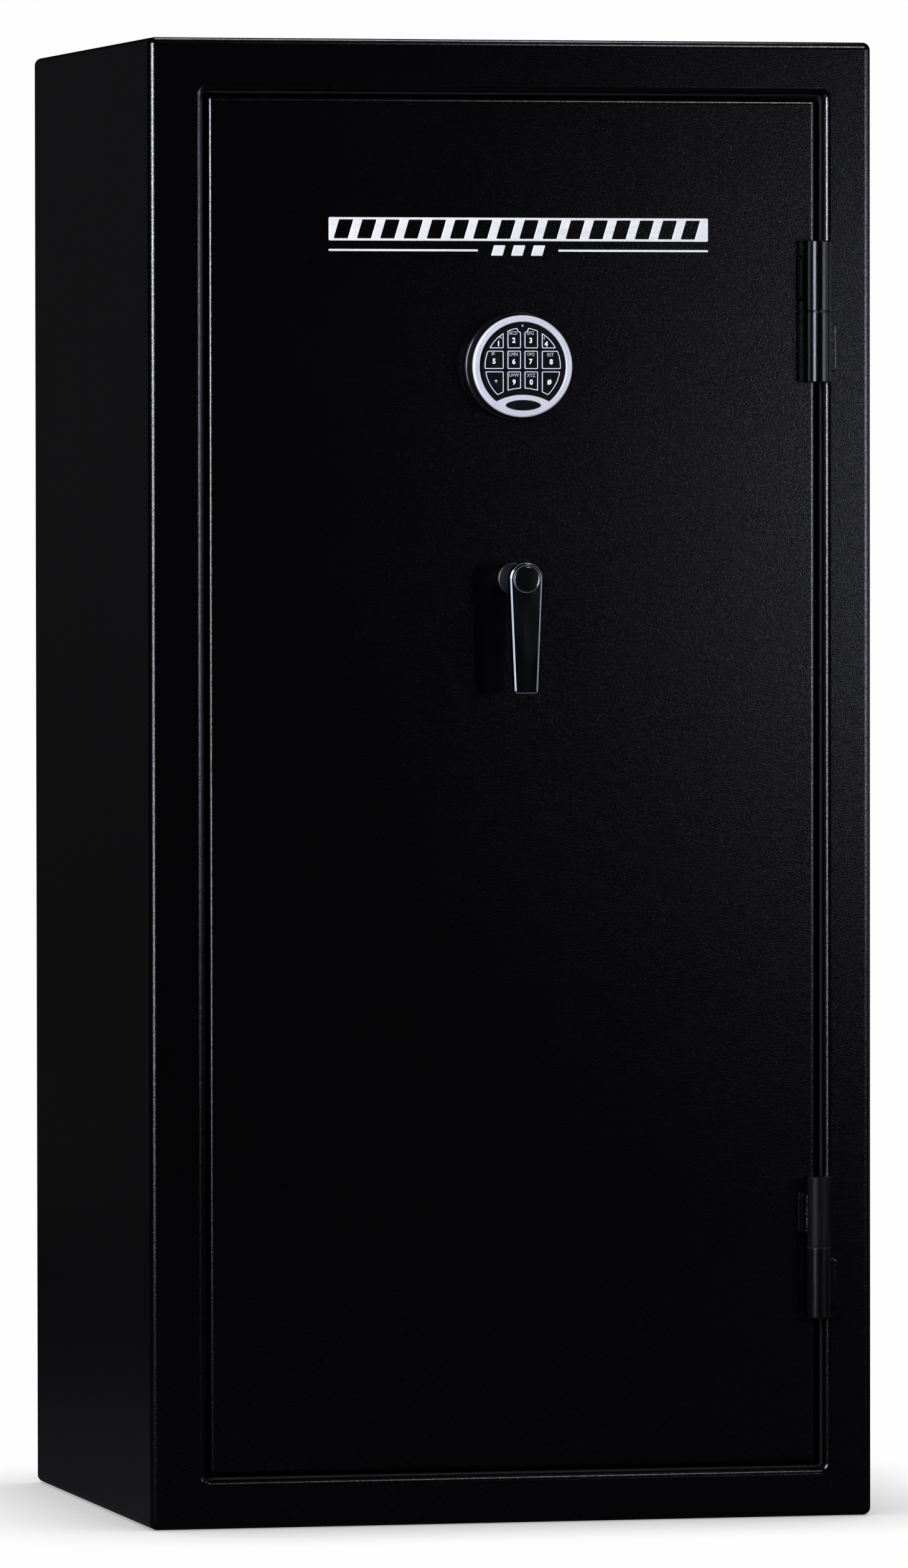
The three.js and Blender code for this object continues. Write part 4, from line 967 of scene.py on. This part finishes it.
# the key field is a circle cut off below by an arc that bows upwards
FACE_R, CUT_Z, CUT_R = 45.2, -88.9, 60.0
OVAL_Z, OVAL_A, OVAL_B = -39.9, 18.8, 5.6


def face_outline(grow):
    r, cut = FACE_R + grow, CUT_R - grow
    v = (r * r - cut * cut + CUT_Z ** 2) / (2 * CUT_Z)
    u = math.sqrt(r * r - v * v)
    upper, under = math.atan2(v, u), math.atan2(v - CUT_Z, u)
    return soften(arc(0, 0, r, upper, PI - upper, 90)
                  + arc(0, CUT_Z, cut, PI - under, under, 30)[1:-1], 3, 6)


def oval(grow):
    a, b = OVAL_A + grow, OVAL_B + grow
    angles = [2 * PI * i / 64 for i in range(64)]
    return [(a * math.cos(t), OVAL_Z + b * math.sin(t) * (1 - 0.12 * math.cos(t) ** 2))
            for t in angles]


def flare(top, r):
    """The edge of a cutter that leaves a rounded rim of radius r at depth top."""
    angles = [i / 5 * PI / 2 for i in range(1, 6)]
    return ([(0, 0), (top - r, 0)]
            + [(top - r + r * math.sin(a), -r * (1 - math.cos(a))) for a in angles]
            + [(top + 3, -r)])


def pad_prism(name, loops, back, thick, bevel, steps):
    return prism(name, loops, back, thick, bevel, steps, PAD_X, PAD_Z)


bezel_back, bezel_y = BASE_OUT + 0.2, DOOR_Y - BEZEL_OUT
# radius, distance out from the door; two fine grooves run round the rim
BEZEL_PROFILE = [(0, bezel_back), (52.2, bezel_back), (52.3, bezel_back + .2)] + [
    (r, BEZEL_OUT - drop) for r, drop in (
        (52.3, 1.9), (52.1, 1.1), (51.6, 0.5), (50.9, 0.1), (50.35, 0), (50.05, 0.03),
        (49.95, 0.22), (49.75, 0.22), (49.62, 0.08), (49.0, 0.06), (48.9, 0.24), (48.7, 0.24),
        (48.6, 0.03), (48.3, 0), (0, 0))]
bezel = turned("bezel", BEZEL_PROFILE, PAD_X, PAD_Z, 160)
cut_back = DOOR_Y - BASE_OUT + 4
combine(bezel, [
    extrude("cut", [face_outline(0.3)], cut_back, flare(cut_back - bezel_y, 0.9), PAD_X, PAD_Z),
    extrude("cut", [oval(.3)], bezel_y + 1.1, flare(1.1, 0.35), PAD_X, PAD_Z)])
dress(bezel, silver, "door", 25, "keypad_bezel")
dress(pad_prism("oval_inlay", [oval(0)], bezel_y + 1.0, 1.5, 0.45, 4),
      oval_black, "door", 60)
dress(pad_prism("oval_rim", [oval(.25), oval(-.35)], bezel_y + .6, 1.0, 0.12, 1),
      silver, "door", 60)

# ---------------------------------------------------------------- keys
# in keypad coordinates: u to +X and v up from the keypad's centre
KEYS_R, MIDDLE_ROW_R = 40.0, 40.4  # outer edge of the field, and of its middle row
FLOOR_V, FLOOR_R = -78.15, 55.0  # arc under the lowest row
NOTCH_V, NOTCH_R = 40.3, 5.6  # notch round the status lens
INNER_U, OUTER_U, SIDE_U = 1.65, 16.3, 19.9  # inner columns' two edges, side columns' inner edge


def span(f, a, b, steps):
    """Points (u, f(u)) from a to b."""
    values = [a + (b - a) * i / steps for i in range(steps + 1)]
    return [(u, f(u)) for u in values]


def side_arc(a, b, r, steps):
    """Points on the -u side of a circle, from height a to b."""
    return [(u, v) for v, u in span(lambda v: -math.sqrt(r * r - v * v), a, b, steps)]


def key_shapes(inset):
    """The twelve key outlines, each moved in by inset."""
    r, notch, floor_r = KEYS_R - inset, NOTCH_R + inset, FLOOR_R + inset

    def rim(u):
        return math.sqrt(max(0, r * r - u * u))

    def floor_arc(u):
        return FLOOR_V + math.sqrt(floor_r * floor_r - u * u)

    def notch_arc(u):
        return NOTCH_V - math.sqrt(notch * notch - u * u)

    # where the rim meets the notch, and where it meets the floor arc
    meet_v = (r * r - notch * notch + NOTCH_V * NOTCH_V) / (2 * NOTCH_V)
    notch_u = math.sqrt(r * r - meet_v * meet_v)
    floor_v = (r * r - floor_r * floor_r + FLOOR_V * FLOOR_V) / (2 * FLOOR_V)
    floor_u = math.sqrt(r * r - floor_v * floor_v)
    upper_base, mid_top, mid_base, lower_top = 18.1 + inset, 16.2 - inset, -3.1 + inset, -5 - inset
    inner, outer, side = -INNER_U - inset, -OUTER_U + inset, -SIDE_U - inset
    tip = -math.sqrt(r * r - upper_base * upper_base)
    # key on the -X side, its mirror image, outline
    pairs = [
        ("1", "4", [(tip, upper_base), (side, upper_base)] + span(rim, side, tip, 12)[:-1]),
        ("2", "3", [(outer, upper_base), (inner, upper_base)]
         + span(notch_arc, inner, -notch_u, 8)[:-1] + span(rim, -notch_u, outer, 8)),
        ("5", "8", [(side, mid_base), (side, mid_top)]
         + side_arc(mid_top, mid_base, MIDDLE_ROW_R - inset, 10)),
        ("6", "7", box_outline(outer, inner, mid_base, mid_top)),
        ("star", "hash", [(side, lower_top)] + side_arc(lower_top, floor_v, r, 14)[:-1]
         + span(floor_arc, -floor_u, side, 6)),
        ("9", "0", [(inner, lower_top), (outer, lower_top)] + span(floor_arc, outer, inner, 8)),
    ]
    out = {}
    for key, mirrored, pts in pairs:
        out[key] = counter_clockwise(pts)
        out[mirrored] = counter_clockwise([(-u, v) for u, v in pts])
    return out


keys, line_out, line_in = key_shapes(0), key_shapes(0.30), key_shapes(1.20)
openings = [soften(grown(pts, 0.35), 1.5) for pts in keys.values()]
dress(pad_prism("face_plate", [face_outline(0)] + openings, DOOR_Y - BASE_OUT - 0.2, 3.6, 0.35, 2),
      keypad_black, "door", 40, "keypad_face")

# sign, its u and v, letters, their u and v
LEGENDS = {
    "1": ("1", -25.9, 23.2, "A", -23.7, 29.9), "2": ("2", -9.6, 26.7, "BCD", -9.9, 34.1),
    "3": ("3", 8.5, 26.5, "EFG", 8.3, 34.0), "4": ("4", 25.0, 23.0, "H", 22.0, 29.0),
    "5": ("5", -30.8, 5.2, "IJK", -31.4, 12.6), "6": ("6", -9.6, 4.9, "LMN", -9.8, 12.3),
    "7": ("7", 8.6, 4.8, "OPQ", 8.5, 12.1), "8": ("8", 30.4, 4.6, "RST", 29.6, 11.9),
    "star": ("*", -28.6, -15.6, "", 0, 0), "9": ("9", -9.3, -16.2, "UVW", -9.4, -9.0),
    "0": ("0", 9.0, -16.2, "XYZ", 8.9, -9.2), "hash": ("#", 28.4, -16.2, "", 0, 0),
}
LEGEND_SQUEEZE = 0.985  # draws the legends towards the centre line
KEY_BACK, KEY_THICK = DOOR_Y - BASE_OUT - 1.3, 3.1
key_y = KEY_BACK - KEY_THICK
for key, pts in keys.items():
    body = f"key_{key}"
    dress(pad_prism(f"cap_{key}", [soften(pts, 1.3, 5)], KEY_BACK, KEY_THICK, 0.45, 4),
          key_black, body, 60, body)
    border = [soften(line_out[key], 1.2, 5), soften(line_in[key], 0.6)]
    dress(pad_prism(f"outline_{key}", border, key_y + 0.15, 0.30, 0.08, 1),
          key_outline, body, 60)
    sign, u, v, letters, letters_u, letters_v = LEGENDS[key]
    dress(text(f"digit_{key}", sign, 3.6 if key == "star" else 5.5, key_y + 0.02,
               PAD_X + u * LEGEND_SQUEEZE, PAD_Z + v, depth=0.16, width=0.95, bold=0.032),
          legend_white, body, 60)
    if letters:
        dress(text(f"letters_{key}", letters, 3.6, key_y + 0.02,
                   PAD_X + letters_u * LEGEND_SQUEEZE, PAD_Z + letters_v,
                   depth=0.14, width=0.86, bold=0.006),
              legend_grey, body, 60)

LENS_PROFILE = [(0, 0), (1.2, 0), (1.2, 0.5), (1.0, 0.9), (0.6, 1.15), (0, 1.25)]
dress(turned("led_lens", LENS_PROFILE, middle("status_led", 0), middle("status_led", 2), 32,
             extent("status_led")[1][1]), lens_grey, "door", 40, "status_led")

# ---------------------------------------------------------------- handle
dress(turned("rosette", [(7, 0.3), (16.1, 0.3), (16.5, 0.7), (16.5, 1.8), (16.2, 2.5),
                         (15.4, 3.0), (7, 3.0), (7, 0.3)], HANDLE_X, HANDLE_Z),
      nickel_satin, "door", 25, "handle_rosette")

# the lever hangs down from its round head and tapers to the tip
HEAD_R, TIP_HALF, LEVER_LONG, LEVER_THICK = 16.9, 12.0, 117.2, 12.0
lever_y = extent("handle_lever")[0][1]
lever_out = DOOR_Y - lever_y - LEVER_THICK  # its back, out from the door
taper = math.asin((HEAD_R - TIP_HALF) / LEVER_LONG)
blade = soften([(-TIP_HALF, -LEVER_LONG), (TIP_HALF, -LEVER_LONG)]
               + arc(0, 0, HEAD_R, -taper, PI + taper, 48), 3.2, 6)
# depth from the back, inset
LEVER_EDGE = [(0, 0.9), (0.25, 0.3), (0.9, 0)] + [
    (LEVER_THICK - drop, inset) for drop, inset in (
        (1.10, 0), (1.02, 0.03), (0.95, 0.12), (0.08, 1.50), (0, 1.75))]
dress(extrude("lever", [blade], DOOR_Y - lever_out, LEVER_EDGE, HANDLE_X, HANDLE_Z),
      nickel, "handle", 28, "handle_lever")
dress(turned("lever_hub", [(0, 3.4), (14.6, 3.4), (15.0, 3.9), (14.9, 20),
                           (14.6, lever_out + 0.8), (0, lever_out + 0.8)], HANDLE_X, HANDLE_Z),
      nickel_satin, "handle", 25)

# painted highlight: light grey lines round the front edge of the lever and round its cap stand in
# for the reflections on their bevels
line_rings = []
for i in range(8):
    a = 2 * PI * i / 8
    inset, depth = 0.58 - 0.30 * math.cos(a), 0.60 - 0.30 * math.sin(a)
    line_rings.append([(u + HANDLE_X, lever_y + depth, v + HANDLE_Z)
                       for u, v in grown(blade, -inset)])
dress(loft("lever_edge_highlight", line_rings, True), edge_highlight_paint, "handle", 60)

low, high = extent("handle_cap")
cap_front, cap_back = DOOR_Y - low[1], DOOR_Y - high[1]
CAP_PROFILE = [(0, cap_back), (14.2, cap_back)] + [
    (r, cap_front - drop) for r, drop in (
        (14.2, 0.75), (14.0, 0.25), (13.4, 0), (12.9, 0.05), (12.6, 0.25), (12.2, 0.25),
        (11.9, 0.1), (0, 0.02))]
dress(turned("cap", CAP_PROFILE, HANDLE_X, HANDLE_Z),
      nickel, "handle", 25, "handle_cap")
cap_line = arc(13.75, cap_front - 0.34, 0.32, 0, 2 * PI, 10)[:-1]
dress(turned("cap_edge_highlight", cap_line + cap_line[:1], HANDLE_X, HANDLE_Z, 120),
      edge_highlight_paint, "handle", 60)


# ---------------------------------------------------------------- moving bolts
def bolt_tip(end, way):
    """The rounded end of a bolt that points way (1 or -1) along its axis."""
    return [(BOLT_R - narrower, end - way * back) for narrower, back in (
        (0, 2.9), (.3, 1.9), (1.2, .6), (2.4, 0))] + [(0, end)]


for i, z in enumerate(BOLT_Z):
    low, high = extent(f"latch_bolt_{i + 1}")
    profile = [(0, 0), (9, 0), (9, 5.4), (5, 5.4), (5, 12.4), (BOLT_R - .5, 12.4), (BOLT_R, 12.9)]
    profile += bolt_tip(high[0] - low[0], 1)
    dress(turned_x(f"bolt_{i + 1}", profile, BOLT_Y, z, 64, -1, high[0]),
          bolt_steel, "latch_bolts", 25, f"latch_bolt_{i + 1}")


def rod(name, node, body, way):
    """A round bolt on a flat bar, pointing up (way = 1) or down (way = -1)."""
    low, high = extent(node)
    end = high[2] if way > 0 else low[2]
    base = end - way * 59.5
    profile = [(0, base), (BOLT_R, base)] + bolt_tip(end, way)
    if way > 0:
        z0, z1 = low[2] + 3, end - 55
    else:
        z0, z1 = end + 55, high[2] - 3
        profile.reverse()
    bar = block("bar", HANDLE_X - 10, HANDLE_X + 10, BOLT_Y - 3, BOLT_Y + 3, z0, z1)
    ob = turned_z(name, profile, HANDLE_X, BOLT_Y)
    combine(ob, [bar], "UNION")
    dress(ob, bolt_steel, body, 25, node)


rod("top_rod", "top_bolt_rod", "top_bolt", 1)
rod("bottom_rod", "bottom_bolt_rod", "bottom_bolt", -1)

# ---------------------------------------------------------------- floor and world
PALE = 0.985  # brightness of the backdrop as the camera sees it
mesh = bpy.data.meshes.new("floor")
bm = bmesh.new()
bmesh.ops.create_grid(bm, x_segments=8, y_segments=8, size=40)
bm.to_mesh(mesh)
bm.free()
floor = bpy.data.objects.new("floor", mesh)
floor.location.z = -0.0006
scene.collection.objects.link(floor)


def camera_switch(tree, output, unseen, seen):
    """Shows one shader to the camera and another to every other ray."""
    is_camera = add_node(tree, "ShaderNodeLightPath").outputs["Is Camera Ray"]
    mix = add_node(tree, "ShaderNodeMixShader", {
        "Fac": is_camera, 1: unseen.outputs[0], 2: seen.outputs[0]})
    add_node(tree, output, {"Surface": mix.outputs["Shader"]})


# the camera sees a glowing floor with contact shade, other rays meet a dark one
floor_mat = bpy.data.materials.new("floor_pale")
floor_mat.use_nodes = True
tree = floor_mat.node_tree
tree.nodes.clear()
contact = add_node(tree, "ShaderNodeAmbientOcclusion", {"Distance": 0.22}, samples=12)
mottle = add_node(tree, "ShaderNodeTexNoise", {"Scale": 3.0})
glow = add_node(tree, "ShaderNodeMath", {
    0: remap(contact.outputs["AO"], 0.30, 1.0, to_low=0.42, to_high=PALE),
    1: remap(mottle.outputs["Fac"], 0.0, 1.0, to_low=0.995, to_high=1.005)}, operation="MULTIPLY")
camera_switch(
    tree, "ShaderNodeOutputMaterial",
    unseen=add_node(tree, "ShaderNodeBsdfDiffuse", {"Color": (0.045, 0.045, 0.048, 1)}),
    seen=add_node(tree, "ShaderNodeEmission", {"Strength": glow.outputs["Value"]}))
mesh.materials.append(floor_mat)

world = bpy.data.worlds.new("studio")
scene.world = world
world.use_nodes = True
tree = world.node_tree
tree.nodes.clear()
camera_switch(
    tree, "ShaderNodeOutputWorld",
    unseen=add_node(tree, "ShaderNodeBackground", {
        "Color": (0.92, 0.94, 1.0, 1), "Strength": 0.005}),
    seen=add_node(tree, "ShaderNodeBackground", {"Color": (1, 1, 1, 1), "Strength": PALE}))

# ---------------------------------------------------------------- lights
COOL = (0.93, 0.95, 1.0)
# name: place, aim (metres), width, height (metres), power (watts)
LIGHTS = {
    "box_left": ((-2.05, -1.90, 1.82), (-0.10, -0.3, 1.5), 1.15, 1.4, 118),
    "box_left_low": ((-2.05, -1.90, 0.72), (-0.10, -0.3, 0.7), 1.0, 0.75, 22),
    "box_right": ((2.05, -2.10, 1.12), (0.0, -0.3, 1.06), 1.45, 0.98, 13.6),
    "glow_right": ((2.56, -4.00, 1.07), (0.0, -0.3, 1.06), 1.7, 0.68, 17.8),
    "upper_right": ((0.85, -1.7, 2.9), (0.3, -0.3, 0.2), 0.6, 0.6, 9),
    "far_right": ((2.60, -0.90, 1.2), (0.05, -0.35, 1.0), 0.35, 1.3, 3.2),
    "rear_left": ((-1.6, 4.2, 1.0), (-0.4, 0, 0.8), 2.6, 3.0, 0.34),
    "rear_right": ((1.8, 3.6, 1.9), (0.2, 0.3, 0.9), 1.4, 1.6, 2.4),
    "side_fill": ((3.2, 0.75, 0.78), (0.38, 0.30, 0.80), 1.9, 1.4, 3.0),
    "back_fill": ((0.75, 3.4, 0.75), (0.20, 0.30, 0.80), 2.1, 1.35, 3.6),
    "overhead": ((0.2, 0.2, 3.3), (0.2, 0.0, 0.9), 1.0, 0.8, 12),
}
for name, (place, aim, width, height, power) in LIGHTS.items():
    light = bpy.data.lights.new(name, "AREA")
    light.shape, light.size, light.size_y = "RECTANGLE", width, height
    light.energy, light.color = power, COOL
    ob = bpy.data.objects.new(name, light)
    ob.location = place
    ob.rotation_euler = (Vector(aim) - Vector(place)).to_track_quat("-Z", "Y").to_euler()
    ob.visible_camera = False
    scene.collection.objects.link(ob)

# ---------------------------------------------------------------- camera
camera = bpy.data.cameras.new("camera")
camera_ob = new_object("camera", camera)
# the camera's own axes and its place, in metres
right = Vector((0.9738016804, -0.2273954416, -0.0012650472))
up = Vector((0.0070656528, 0.0246966902, 0.9996700206))
forward = Vector((0.2272891633, 0.9734892843, -0.0256563757))
place = Vector((-2.76042406, -11.85936338, 1.06545936))
camera_ob.matrix_world = Matrix(
    [(right[i], up[i], -forward[i], place[i]) for i in range(3)] + [(0, 0, 0, 1)])
camera.sensor_width, camera.lens = 36, 265.6827
camera.clip_start, camera.clip_end = 0.1, 80
scene.camera = camera_ob
scene.view_settings.view_transform = "Standard"
scene.view_settings.look = "None"
